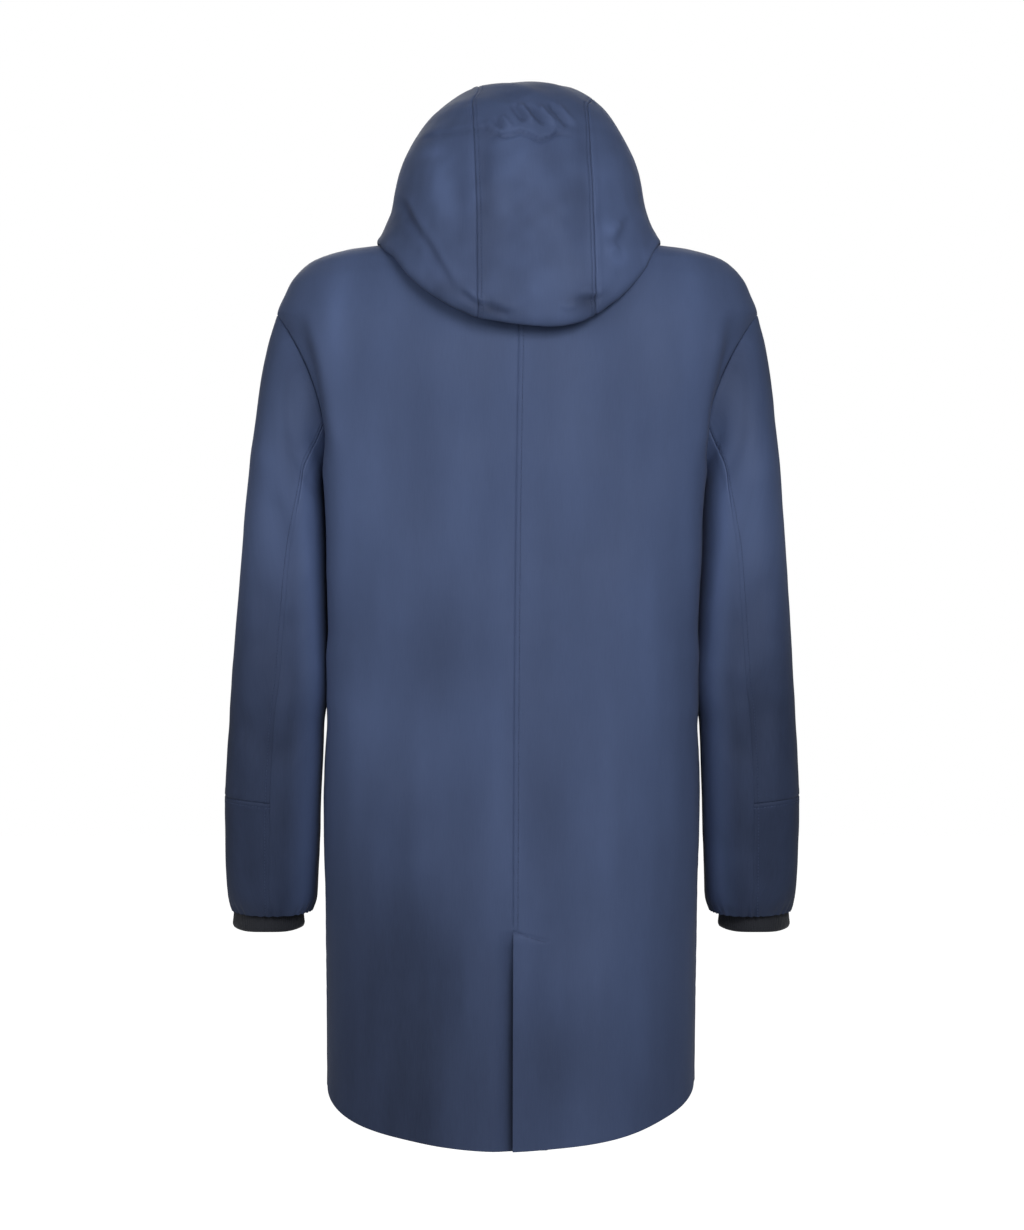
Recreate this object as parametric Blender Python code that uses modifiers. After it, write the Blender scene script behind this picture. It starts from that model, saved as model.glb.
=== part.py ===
"""A long hooded windbreaker, filled out as when it is worn, built as walls of cloth.

Metres, +Z up. The wearer faces -Y and the wearer's left is +X. The origin is the centre of the
neck, between the shoulders, where the wearer holds the garment up. Every piece that a maker cuts
is an object of its own: an open surface worked out from a table of sections, given its thickness
by Solidify. The pieces meet at seams with a small gap.
"""

import math

import bmesh
import bpy
import numpy as np
from mathutils import Matrix

# ---------------------------------------------------------------- driving sizes
WALL = 0.0015                   # shell cloth with its seams
SEAM_GAP = 0.0004               # between two pieces at a seam
HOOD_GAP = 0.0006               # the same at the hood's seams, which turn round its fold
CUFF_WALL = 0.002               # doubled elastic

SWAY = 0.009                    # the hem hangs this far to the wearer's left of the neck
SWAY_REACH = 0.35               # depth below the neck over which the sway builds up
HEM_TILT = 0.022                # slope of the hem from side to side, the left side lower
HEM_ZONE = (-0.70, -0.89)       # heights between which the slope builds up

NECK_HEIGHT = 0.010             # neck seam at the back and at the sides
NECK_SCOOP = 3.5                # how late the neck seam dips towards the front
NECK_LIFT = 0.0008              # the hood's edge above the neck seam
HOOD_CLEAR = 0.012              # the hood's turned-under cloth above the shoulders

UNDERARM = -0.235               # height of the bottom of the armhole
ARMHOLE_TOP = -0.070            # height of its top, on the dropped shoulder
ARMHOLE_OUT = 0.2395            # half width there
ARMHOLE_IN = 0.184              # half width at the underarm
ARMHOLE_DEPTH = 0.066           # half its size from front to back
ARMHOLE_WRAP = 0.016            # how far its front and back sides lie in from its middle
SIDE_REACH = 0.062              # half the width of the hollow that the arm presses into the side

VENT_TOP = -0.687               # top of the back vent
VENT_SET = -0.709               # from here down the under layer lies fully below the upper one
VENT_LAP = 0.036                # the left half runs on under the right one by this much
VENT_SINK = 0.0024              # depth of the under layer below the surface
VENT_BLEND = 0.060              # width over which the left half sinks towards the vent

STRIP_HALF = 0.0575             # half the width of the hood's centre strip
HOOD_TURN = math.radians(7.5)   # the hood's strip and face opening are turned by this much
HOOD_FOLD = (3.0, 1.7)          # how the hood's lower fold rises from the back to the sides
FOREHEAD = 4.2                  # level of the strip's front edge
CHIN = 8.0                      # level of the chin edge, at the top of the zip

ZIP_SLOT = 0.0045               # half the slot between the two fronts
ZIP_TAPE = 0.0105                # half the width of the zip with its tapes
ZIP_COIL = 0.0030               # half the width of its closed coil
ZIP_RISE = 0.0013               # the coil stands this far proud of its tape
ZIP_WALL = 0.0010
ZIP_SINK = 0.0010               # the tape's gap below the inside of the cloth
ZIP_HEM = 0.002                 # its lower end above the hem
SLIDER_LEVEL = 8.75             # level of the slider on the hood's front edge
SLIDER_WIDE = 0.0084
SLIDER_LONG = 0.0130
SLIDER_THICK = 0.0018
PIN_HEIGHT = 0.0027             # pin above the slider's face
PIN_RADIUS = 0.0007
LUG_THICK = 0.0012
LUG_LONG = 0.0036
LUG_TOP = 0.0011                # lugs above the pin
EYE_WIDE = 0.0034
EYE_RADIUS = 0.0021
EYE_BORE = 0.0011
PULL_WIDE = 0.0062
PULL_THICK = 0.0014
PULL_LONG = 0.0310
NECK_END = 0.0050               # where the narrow neck below the eye widens into the grip

# ------------------------------------------------------------------------ tables
# Torso: horizontal sections. half_width at mid depth, back and front from the neck's axis,
# squareness of the section (2 is an ellipse), hollow pressed in by the arm.
TORSO_COLUMNS = ("height", "half_width", "back", "front", "squareness", "hollow")
TORSO = (
    (-0.915, 0.1835, 0.1200, 0.1180, 2.6, 0.0000),
    (-0.835, 0.1835, 0.1220, 0.1200, 2.6, 0.0000),
    (-0.655, 0.1855, 0.1260, 0.1250, 2.6, 0.0000),
    (-0.505, 0.1868, 0.1293, 0.1283, 2.7, 0.0005),
    (-0.455, 0.1885, 0.1303, 0.1293, 2.8, 0.0065),
    (-0.400, 0.1910, 0.1315, 0.1302, 3.0, 0.0100),
    (-0.320, 0.1945, 0.1338, 0.1318, 3.3, 0.0140),
    (-0.250, 0.1985, 0.1355, 0.1320, 3.5, 0.0215),
    (-0.200, 0.2030, 0.1362, 0.1305, 3.4, 0.0150),
    (-0.155, 0.2090, 0.1350, 0.1255, 3.2, 0.0070),
    (-0.120, 0.2190, 0.1310, 0.1180, 2.9, 0.0020),
    (-0.095, 0.2320, 0.1270, 0.1105, 2.5, 0.0000),
    (-0.070, 0.2395, 0.1210, 0.0980, 2.3, 0.0000),
    (-0.050, 0.2320, 0.1145, 0.0850, 2.2, 0.0000),
    (-0.034, 0.2240, 0.1080, 0.0790, 2.1, 0.0000),
    (-0.024, 0.2150, 0.1030, 0.0760, 2.0, 0.0000),
    (-0.015, 0.2025, 0.0970, 0.0730, 2.0, 0.0000),
    (-0.010, 0.1890, 0.0925, 0.0710, 2.0, 0.0000),
    (-0.006, 0.1730, 0.0890, 0.0695, 2.0, 0.0000),
    (-0.003, 0.1450, 0.0865, 0.0685, 2.0, 0.0000),
    (0.002, 0.1100, 0.0820, 0.0665, 2.0, 0.0000),
    (0.010, 0.0850, 0.0750, 0.0650, 2.0, 0.0000),
)

# Rows of the torso's panels below the armhole: height at the centre line and at the side seam.
PANEL_ROW_COLUMNS = ("centre", "side")
BACK_ROWS = (
    (-0.8910, -0.8350),
    (-0.8180, -0.7780),
    (-0.7540, -0.7240),
    (VENT_SET, -0.6840),
    (VENT_TOP, -0.6650),
    (-0.5950, -0.5850),
    (-0.5000, -0.5000),
    (-0.4000, -0.4000),
    (-0.3100, -0.3100),
)
FRONT_ROWS = (
    (-0.8750, -0.8350),
    (-0.8030, -0.7750),
    (-0.7200, -0.7000),
    (-0.6150, -0.6050),
    (-0.5000, -0.5000),
    (-0.4000, -0.4000),
    (-0.3100, -0.3100),
)
# Columns of a panel's row, as shares of the way from the centre line to its outer edge.
PANEL_SPREAD = (0.0, 0.15, 0.30, 0.45, 0.59, 0.72, 0.85, 0.965, 1.0)
COLUMN_CROWD = 3.0              # how late the columns close up towards the armhole
NECK_FRONT = -0.050             # neck seam at the centre front
SHOULDER_ROWS = (-0.053, -0.036, -0.023, -0.013, -0.005, 0.002, NECK_HEIGHT)

# Sleeve: sections across the arm, from the armhole to the wrist. The outer and inner points of a
# section, its half depth, the place of its middle, how far its sides wrap in, how far its back
# hangs below its middle, and where the seams between the outer and inner pieces run (degrees
# from the outer point).
SLEEVE_COLUMNS = (
    "outer_x", "outer_z", "inner_x", "inner_z", "depth", "middle", "wrap", "tilt", "seam")
SLEEVE = (
    (ARMHOLE_OUT, ARMHOLE_TOP, ARMHOLE_IN, UNDERARM, ARMHOLE_DEPTH, 0.000, ARMHOLE_WRAP, 0.0, 110),
    (0.2440, -0.084, 0.1862, -0.243, 0.0685, 0.000, 0.0062, 0.0000, 108),
    (0.2490, -0.104, 0.1864, -0.252, 0.0705, 0.000, 0.0040, 0.0000, 106),
    (0.2542, -0.135, 0.1858, -0.265, 0.0720, 0.002, 0.0020, 0.0000, 104),
    (0.2585, -0.175, 0.1857, -0.282, 0.0719, 0.0043, 0.0010, 0.0000, 101),
    (0.2640, -0.225, 0.1853, -0.306, 0.0710, 0.006, 0.0000, 0.0000, 98),
    (0.2688, -0.280, 0.1848, -0.336, 0.0690, 0.008, 0.0000, 0.0000, 96),
    (0.2745, -0.360, 0.1836, -0.385, 0.0655, 0.008, 0.0000, 0.0000, 93),
    (0.2790, -0.430, 0.1832, -0.438, 0.0620, 0.005, 0.0000, 0.0005, 91),
    (0.2822, -0.473, 0.1872, -0.477, 0.0600, 0.002, 0.0000, 0.0010, 90),
    (0.2868, -0.549, 0.1912, -0.558, 0.0572, -0.006, 0.0000, 0.0030, 90),
    (0.2872, -0.595, 0.1923, -0.598, 0.0555, -0.013, 0.0000, 0.0035, 90),
    (0.2865, -0.631, 0.1938, -0.631, 0.0540, -0.019, 0.0000, 0.0040, 90),
    (0.2850, -0.650, 0.1948, -0.650, 0.0520, -0.0225, 0.0000, 0.0042, 90),
    (0.2832, -0.659, 0.1970, -0.659, 0.0495, -0.0240, 0.0000, 0.0042, 90),
    (0.2812, -0.666, 0.2000, -0.666, 0.0460, -0.0250, 0.0000, 0.0042, 90),
)
ELBOW = 10                      # section of the seam between the upper sleeve and the forearm
WRIST = len(SLEEVE) - 1
ARM_STEPS = (0, 28, 50, 70, 90, 108, 110, 112, 135, 157.5, 180)

CUFF_COLUMNS = ("height", "half_width", "depth")
CUFF = (
    (-0.6510, 0.0342, 0.0405),
    (-0.6690, 0.0350, 0.0415),
    (-0.6820, 0.0364, 0.0428),
)
CUFF_MIDDLE = (0.2440, -0.0255)
CUFF_TILT = 0.0042

# Hood: levels from the crown down to the lower fold and back up under it to the neck seam.
# Each level's reach and height at the side, the back and the front, and the half width of the
# face opening where it has one.
HOOD_COLUMNS = (
    "side", "side_z", "back", "back_z", "front", "front_z", "opening", "squareness", "lean")
HOOD = (
    (0.0000, 0.1640, 0.0000, 0.1640, 0.0000, 0.1640, 0.0575, 2.00, 0.0050),
    (0.0270, 0.1620, 0.0330, 0.1615, 0.0330, 0.1628, 0.0575, 2.00, 0.0050),
    (0.0545, 0.1545, 0.0620, 0.1535, 0.0640, 0.1575, 0.0575, 2.00, 0.0045),
    (0.0815, 0.1345, 0.0910, 0.1350, 0.1000, 0.1450, 0.0575, 2.05, 0.0025),
    (0.1005, 0.1105, 0.1125, 0.1080, 0.1240, 0.1230, 0.0575, 2.10, 0.0010),
    (0.1145, 0.0850, 0.1280, 0.0740, 0.1300, 0.0950, 0.0700, 2.15, 0.0000),
    (0.1215, 0.0620, 0.1380, 0.0380, 0.1270, 0.0650, 0.0760, 2.25, 0.0000),
    (0.1255, 0.0400, 0.1445, -0.0020, 0.1200, 0.0350, 0.0680, 2.40, 0.0000),
    (0.1305, 0.0230, 0.1490, -0.0370, 0.1130, 0.0080, ZIP_SLOT, 2.55, 0.0000),
    (0.1370, 0.0110, 0.1515, -0.0680, 0.1060, -0.0080, ZIP_SLOT, 2.65, 0.0000),
    (0.1410, 0.0055, 0.1500, -0.0860, 0.1000, -0.0200, ZIP_SLOT, 2.70, 0.0000),
    (0.1370, 0.0020, 0.1430, -0.0915, 0.0960, -0.0290, ZIP_SLOT, 2.65, 0.0000),
    (0.1180, 0.0060, 0.1350, -0.0720, 0.0920, -0.0360, ZIP_SLOT, 2.50, 0.0000),
    (0.0980, 0.0115, 0.1120, -0.0110, 0.0880, -0.0440, ZIP_SLOT, 2.30, 0.0000),
    (0.0850, 0.0100, 0.0750, 0.0100, 0.0850, -0.0500, ZIP_SLOT, 2.00, 0.0000),
)
HOOD_NECK = len(HOOD) - 1
HOOD_BACK_LEVELS = (2.6, 3.4, 4.2, 5, 6, 7, 8, 9, 9.8, 10.4, 10.9, 11.5, 12.3, 13, HOOD_NECK)
HOOD_FRONT_LEVELS = (FOREHEAD, 3.4, 2.6)

# ------------------------------------------------------------------------ colours
NAVY = (0.062, 0.086, 0.160)
ELASTIC = (0.012, 0.012, 0.014)
ZIP_BLACK = (0.015, 0.016, 0.020)
GUNMETAL = (0.160, 0.165, 0.175)


def table(columns, rows):
    """The columns of a table as named arrays."""
    values = np.array(rows, dtype=float)
    return {name: values[:, i] for i, name in enumerate(columns)}


TORSO_AT = table(TORSO_COLUMNS, TORSO)
SLEEVE_AT = table(SLEEVE_COLUMNS, SLEEVE)
HOOD_AT = table(HOOD_COLUMNS, HOOD)
CUFF_AT = table(CUFF_COLUMNS, CUFF)


def smooth(x, knots, values):
    """A curve through the knots whose slope at each knot is taken from its neighbours."""
    x = np.asarray(x, dtype=float)
    slopes = np.gradient(values, knots)
    i = np.clip(np.searchsorted(knots, x) - 1, 0, len(knots) - 2)
    span = knots[i + 1] - knots[i]
    t = np.clip((x - knots[i]) / span, 0.0, 1.0)
    return ((1 + 2 * t) * (1 - t) ** 2 * values[i]
            + t * (1 - t) ** 2 * span * slopes[i]
            + t ** 2 * (3 - 2 * t) * values[i + 1]
            + t ** 2 * (t - 1) * span * slopes[i + 1])


def hang(points):
    """The whole garment hangs a little to one side, more so further below the neck."""
    below = np.minimum(points[..., 2], 0.0)
    points = points.copy()
    down = np.clip((HEM_ZONE[0] - below) / (HEM_ZONE[0] - HEM_ZONE[1]), 0.0, None)
    points[..., 2] -= HEM_TILT * points[..., 0] * down ** 2
    points[..., 0] += SWAY * (1.0 - np.exp(below / SWAY_REACH))
    return points


# ------------------------------------------------------------------------ torso
def torso(angle, height):
    """A point of the torso at an angle about the neck's axis (0 left, 90 degrees back) and a
    height: a superellipse section, with the arm's hollow taken off its side."""
    c, s = np.cos(angle), np.sin(angle)
    across = smooth(height, TORSO_AT["height"], TORSO_AT["half_width"])
    back = smooth(height, TORSO_AT["height"], TORSO_AT["back"])
    front = smooth(height, TORSO_AT["height"], TORSO_AT["front"])
    power = smooth(height, TORSO_AT["height"], TORSO_AT["squareness"])
    hollow = smooth(height, TORSO_AT["height"], TORSO_AT["hollow"])
    deep = np.where(s > 0, back, front)
    radius = ((np.abs(c) / across) ** power + (np.abs(s) / deep) ** power) ** (-1.0 / power)
    x, y = radius * c, radius * s
    x = x - np.sign(c) * hollow * np.exp(-(y / SIDE_REACH) ** 2)
    return np.stack([x, y, height + 0.0 * x], axis=-1)


def hem_dip(angle):
    """How far along its drop the hem is at an angle: nought at the side, one at the centre."""
    edge = torso(angle, np.full_like(angle, BACK_ROWS[0][1]))
    across = np.abs(edge[..., 0]) / TORSO_AT["half_width"][1]
    return np.sqrt(np.clip(1.0 - across ** 2, 0.0, 1.0))


def neck_dip(angle):
    """The same for the neck seam, which stays high at the sides and scoops at the front."""
    return np.abs(np.sin(angle)) ** NECK_SCOOP


def neck_ring(angle):
    """A point of the neck seam."""
    low = np.where(np.sin(angle) > 0, NECK_HEIGHT, NECK_FRONT)
    return torso(angle, NECK_HEIGHT + (low - NECK_HEIGHT) * neck_dip(angle))


def sleeve(turn, section):
    """A point of the left sleeve, at an angle round the arm (0 outer, 90 degrees back) and a
    section number: an ellipse through the section's outer and inner points."""
    at = {name: smooth(section, np.arange(len(SLEEVE)), SLEEVE_AT[name]) for name in SLEEVE_COLUMNS}
    c, s = np.cos(turn), np.sin(turn)
    x = (at["outer_x"] + at["inner_x"]) / 2 + (at["outer_x"] - at["inner_x"]) / 2 * c
    z = (at["outer_z"] + at["inner_z"]) / 2 + (at["outer_z"] - at["inner_z"]) / 2 * c
    y = at["middle"] + at["depth"] * s
    return np.stack([x - at["wrap"] * s ** 2, y, z - at["tilt"] * s], axis=-1)


def shoulder_height(x, y):
    """Height of the shoulders under a point: the height at which the torso's section passes
    through it, or far below where the point lies outside the shoulders."""
    heights = np.linspace(ARMHOLE_TOP, NECK_HEIGHT, 41)
    angle = np.arctan2(y, x)[..., None]
    section = torso(angle, heights + 0.0 * angle)
    radius = np.hypot(section[..., 0], section[..., 1])
    inside = radius >= np.hypot(x, y)[..., None]
    count = inside.sum(axis=-1)
    high = np.clip(count - 1, 0, len(heights) - 2)
    pick = high[..., None]
    near = np.take_along_axis(radius, pick, -1)[..., 0]
    far = np.take_along_axis(radius, pick + 1, -1)[..., 0]
    share = np.clip((near - np.hypot(x, y)) / np.maximum(near - far, 1e-9), 0.0, 1.0)
    found = heights[high] + share * (heights[1] - heights[0])
    return np.where(count > 0, found, -1.0)


def seam_turn(section):
    return np.radians(smooth(section, np.arange(len(SLEEVE)), SLEEVE_AT["seam"]))


def panel_rows(side_sign, rows, centre_top, edge_x):
    """A half front or half back as a grid: rows from the hem up to the neck, columns from the
    centre line out to the side seam, the armhole and the shoulder seam.

    side_sign is +1 for the back and -1 for the front. edge_x is the x of the centre edge."""
    arm = np.radians(np.array(ARM_STEPS[::-1], dtype=float)) * side_sign
    armhole = sleeve(arm, np.zeros_like(arm))
    side = [torso(np.zeros(1), np.array([z]))[0] for _, z in rows]
    shoulder = [torso(np.zeros(1), np.array([z]))[0] for z in SHOULDER_ROWS]
    outer = np.array(side + list(armhole) + shoulder)
    # centre heights: those of the table, then rising evenly with the outer edge to the neck
    above = outer[len(rows):, 2]
    rise = (centre_top - UNDERARM) / (NECK_HEIGHT - UNDERARM)
    centre = np.concatenate([[c for c, _ in rows], UNDERARM + (above - UNDERARM) * rise])
    scoop = np.arange(len(outer)) >= len(rows)

    spread = np.array(PANEL_SPREAD)
    grid = []
    for point, middle, is_scoop in zip(outer, centre, scoop):
        depth = np.abs(torso(np.array([side_sign * math.pi / 2]), np.array([middle]))[0, 1])
        start = math.atan2(side_sign * depth, edge_x)
        end = math.atan2(point[1], point[0])
        angle = start * (1.0 - spread) + end * spread ** COLUMN_CROWD
        dip = neck_dip if is_scoop else hem_dip
        share = dip(angle)
        share = (share - share[-1]) / (share[0] - share[-1])
        heights = point[2] + (middle - point[2]) * share
        line = torso(angle, heights)
        # the last third of the row is drawn to the seam's own point
        reach = np.clip((spread - 0.55) / 0.45, 0.0, 1.0) ** 4
        line += reach[:, None] * (point - line[-1])
        grid.append(line)
    return np.array(grid)


def inset(grid, rows=(True, True), columns=(True, True), gap=SEAM_GAP):
    """The grid with its edges drawn back by half the seam gap, towards the next points."""
    grid = grid.copy()

    def draw_back(edge, inner):
        step = inner - edge
        return edge + step / np.linalg.norm(step, axis=-1, keepdims=True) * gap / 2

    if rows[0]:
        grid[0] = draw_back(grid[0], grid[1])
    if rows[1]:
        grid[-1] = draw_back(grid[-1], grid[-2])
    if columns[0]:
        grid[:, 0] = draw_back(grid[:, 0], grid[:, 1])
    if columns[1]:
        grid[:, -1] = draw_back(grid[:, -1], grid[:, -2])
    return grid


def mirrored(grid):
    return grid * np.array([-1.0, 1.0, 1.0])


# ------------------------------------------------------------------------ hood
def hood(angle, level):
    """A point of the hood at an angle about the neck's axis and a level of its table: an
    superellipse in plan, whose height runs from the side's to the back's or the front's."""
    levels = np.arange(len(HOOD), dtype=float)
    at = {name: smooth(level, levels, HOOD_AT[name]) for name in HOOD_COLUMNS}
    c, s = np.cos(angle), np.sin(angle)
    reach = np.where(s > 0, at["back"], at["front"])
    end_z = np.where(s > 0, at["back_z"], at["front_z"])
    share = (1.0 - np.abs(c) ** HOOD_FOLD[0]) ** HOOD_FOLD[1]
    swell = (np.abs(c) ** at["squareness"] + np.abs(s) ** at["squareness"])
    swell = swell ** (-1.0 / at["squareness"])
    heights = at["side_z"] + (end_z - at["side_z"]) * share
    x, y = at["side"] * c * swell - at["lean"], reach * s * swell
    clear = HOOD_CLEAR * np.clip(HOOD_NECK - level, 0.0, 1.0)
    plain = np.stack([x, y, np.maximum(heights, shoulder_height(x, y) + clear)], axis=-1)
    ring = neck_ring(angle) + np.array([0.0, 0.0, NECK_LIFT])
    join = np.clip(level - (HOOD_NECK - 1), 0.0, 1.0)[..., None]
    return plain * (1.0 - join) + ring * join


def across_angle(half_width, level):
    """Angle from the side at which a level of the hood is half_width from its middle."""
    levels = np.arange(len(HOOD), dtype=float)
    share = np.clip(half_width / smooth(level, levels, HOOD_AT["side"]), 0.0, 1.0)
    power = smooth(level, levels, HOOD_AT["squareness"])
    return float(np.arctan2((1.0 - share ** power) ** (1.0 / power), share))


def crown_level():
    """The level at which the strip just fills the hood from side to side."""
    fine = np.linspace(1.0, 4.0, 601)
    side = smooth(fine, np.arange(len(HOOD), dtype=float), HOOD_AT["side"])
    return float(np.interp(STRIP_HALF, side, fine))


def front_angle(level):
    """Angle from the side of the front edge of a side piece: the strip's seam above the
    forehead, then the face opening, then the zip."""
    if level <= FOREHEAD:
        return across_angle(STRIP_HALF, level)
    if level >= CHIN:
        return across_angle(ZIP_SLOT, level)
    levels = np.arange(len(HOOD), dtype=float)
    return across_angle(float(smooth(level, levels, HOOD_AT["opening"])), level)


def front_turn(level):
    """The turn of the hood's front edge, which dies out between the cheeks and the chin."""
    return HOOD_TURN * min(max((CHIN - level) / 3.0, 0.0), 1.0)


def hood_strip():
    """The centre strip: rows from the forehead over the crown and down to the neck."""
    spread = np.array([-1, -0.955, -0.63, -0.31, 0, 0.31, 0.63, 0.955, 1.0])
    rows = []
    for level in HOOD_FRONT_LEVELS:
        rows.append((level, -1.0))
    rows.append((crown_level(), 0.0))
    for level in HOOD_BACK_LEVELS:
        rows.append((level, 1.0))
    grid = []
    for level, way in rows:
        edge = across_angle(STRIP_HALF, level)
        across = level * math.cos(edge) * spread
        along = np.full_like(across, level * math.sin(edge) * way)
        # straight across the crown, then more and more along their own level
        bow = np.hypot(across, along)
        level_share = min(max((level - 3.0) / 3.0, 0.0), 1.0)
        bow = bow + (level - bow) * level_share
        angle = np.arctan2(along, across) + HOOD_TURN
        grid.append(hood(angle, np.minimum(bow, HOOD_NECK)))
    return np.array(grid)


def side_edges(sign, level):
    """Angles of a side piece's two edges: the strip's seam, and the front edge."""
    start, end = across_angle(STRIP_HALF, level), -front_angle(level)
    if sign < 0:
        start, end = math.pi - start, math.pi - end
    return start + HOOD_TURN, end + front_turn(level)


def hood_side(sign):
    """A side piece: rows at the hood's levels, from the strip's seam round to the front edge.
    Its columns meet those of the torso at the neck seam."""
    start, end = side_edges(sign, HOOD_NECK)
    share = 1.0 - np.array(PANEL_SPREAD)
    share = share[(share == 0.0) | (share > 0.1)]
    around = np.concatenate([share[1:] * math.pi / 2, -share[::-1] * front_angle(HOOD_NECK)])
    around = around if sign > 0 else math.pi - around
    spread = (around - start) / (end - start)
    spread = np.concatenate([[0.0, 0.016], spread[(spread > 0.07) & (spread < 0.98)], [1.0]])
    grid = []
    for level in (crown_level(),) + HOOD_BACK_LEVELS:
        start, end = side_edges(sign, level)
        angle = start + (end - start) * spread
        grid.append(hood(angle, np.full_like(angle, level)))
    return np.array(grid)


# ------------------------------------------------------------------------ objects
def material(name, colour, roughness, metallic=0.0):
    made = bpy.data.materials.new(name)
    made.use_nodes = True
    shader = made.node_tree.nodes["Principled BSDF"]
    shader.inputs["Base Color"].default_value = (*colour, 1.0)
    shader.inputs["Roughness"].default_value = roughness
    shader.inputs["Metallic"].default_value = metallic
    return made


def cloth(name, patches, inside, finish, wall=WALL, closed=False):
    """A piece of cloth: one or more grids welded into an open surface, facing away from the
    point inside, with a wall given to it inwards."""
    mesh = bpy.data.meshes.new(name)
    build = bmesh.new()
    for grid in patches:
        rows, columns = grid.shape[:2]
        placed = hang(grid)
        corners = [[build.verts.new(placed[i, j]) for j in range(columns)] for i in range(rows)]
        wrap = columns if closed else columns - 1
        for i in range(rows - 1):
            for j in range(wrap):
                k = (j + 1) % columns
                ring = (corners[i][j], corners[i][k], corners[i + 1][k], corners[i + 1][j])
                build.faces.new(ring)
    bmesh.ops.remove_doubles(build, verts=build.verts, dist=0.00005)
    build.normal_update()
    centre = np.array(inside)
    outward = sum(f.calc_area() * f.normal.dot(f.calc_center_median() - type(f.normal)(centre))
                  for f in build.faces)
    if outward < 0:
        bmesh.ops.reverse_faces(build, faces=build.faces)
    build.to_mesh(mesh)
    build.free()
    mesh.shade_smooth()
    made = bpy.data.objects.new(name, mesh)
    mesh.materials.append(finish)
    windbreaker.objects.link(made)
    thick = made.modifiers.new("wall", "SOLIDIFY")
    thick.thickness = wall
    thick.offset = -1.0
    return made


def sunk(grid):
    """The left back sinks below the vent's upper layer: fully from VENT_SET down at the vent,
    fading away across VENT_BLEND and towards the top of the vent."""
    grid = grid.copy()
    height, across = grid[..., 2], grid[..., 0]
    down = np.clip((VENT_TOP - height) / (VENT_TOP - VENT_SET), 0.0, 1.0)
    near = np.clip(1.0 - across / VENT_BLEND, 0.0, 1.0)
    near = near * near * (3.0 - 2.0 * near)
    grid[..., 1] -= VENT_SINK * down * near
    return grid


def make_torso(finish):
    inside = (0.0, 0.0, -0.4)
    back = panel_rows(1, BACK_ROWS, NECK_HEIGHT, SEAM_GAP / 2)
    back = inset(back, rows=(False, True), columns=(False, True))
    # the left back runs on under the right one, from VENT_SET down to the hem
    lap_rows = [i for i, (c, _) in enumerate(BACK_ROWS) if c <= VENT_SET]
    lap = []
    for i in lap_rows:
        height = back[i, 0, 2]
        across = np.linspace(-VENT_LAP, SEAM_GAP / 2, 4)
        angle = np.arctan2(back[i, 0, 1], across)
        lap.append(torso(angle, np.full_like(angle, height)))
    left = sunk(back)
    lap = sunk(np.array(lap))
    lap[:, -1] = left[lap_rows, 0]
    cloth("back_left", [left, lap], inside, finish)
    cloth("back_right", [mirrored(back)], inside, finish)

    front = panel_rows(-1, FRONT_ROWS, NECK_FRONT, ZIP_SLOT)
    front = inset(front, rows=(False, True), columns=(False, True))
    cloth("front_left", [front], inside, finish)
    cloth("front_right", [mirrored(front)], inside, finish)


def sleeve_grid(first, last, shares, round_inner):
    """A sleeve piece between two sections: columns at shares of the way between its seams."""
    grid = []
    for section in range(first, last + 1):
        seam = float(seam_turn(np.array(section, dtype=float)))
        if round_inner:
            turn = seam + (2 * math.pi - 2 * seam) * shares
        else:
            turn = seam * shares
        grid.append(sleeve(turn, np.full_like(turn, section)))
    return np.array(grid)


def make_sleeves(finish, elastic):
    steps = np.array(ARM_STEPS, dtype=float)
    seam = SLEEVE_AT["seam"][0]
    half = steps[steps <= seam] / seam
    outer_shares = np.concatenate([-half[:0:-1], half])
    inner_half = (steps[steps >= seam] - seam) / (360.0 - 2.0 * seam)
    inner_shares = np.concatenate([inner_half, 1.0 - inner_half[-2::-1]])
    pieces = (
        ("sleeve_top", sleeve_grid(0, ELBOW, outer_shares, False), (True, True)),
        ("forearm", sleeve_grid(ELBOW, WRIST, outer_shares, False), (True, False)),
        ("sleeve_under", sleeve_grid(0, WRIST, inner_shares, True), (True, False)),
    )
    for side, sign in (("left", 1), ("right", -1)):
        inside = (sign * 0.23, 0.0, -0.36)
        for name, grid, rows in pieces:
            cut = inset(grid, rows=rows)
            cloth(f"{name}_{side}", [cut if sign > 0 else mirrored(cut)], inside, finish)
        turn = np.radians(np.arange(0.0, 360.0, 22.5))
        ring = []
        for height, half_width, depth in CUFF:
            x = CUFF_MIDDLE[0] + half_width * np.cos(turn)
            y = CUFF_MIDDLE[1] + depth * np.sin(turn)
            ring.append(np.stack([x, y, height - CUFF_TILT * np.sin(turn)], axis=-1))
        ring = np.array(ring)
        middle = (sign * CUFF_MIDDLE[0], CUFF_MIDDLE[1], -0.67)
        cloth(f"cuff_{side}", [ring if sign > 0 else mirrored(ring)], middle, elastic,
              wall=CUFF_WALL, closed=True)


def make_hood(finish):
    inside = (0.0, 0.0, 0.05)
    cloth("hood_centre", [inset(hood_strip(), rows=(False, False), gap=HOOD_GAP)], inside, finish)
    for side, sign in (("left", 1), ("right", -1)):
        grid = inset(hood_side(sign)[1:], rows=(False, False), gap=HOOD_GAP)
        tip = hood_side(sign)[0]
        grid = np.concatenate([tip[None], grid])
        cloth(f"hood_{side}", [grid], inside, finish)


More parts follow.
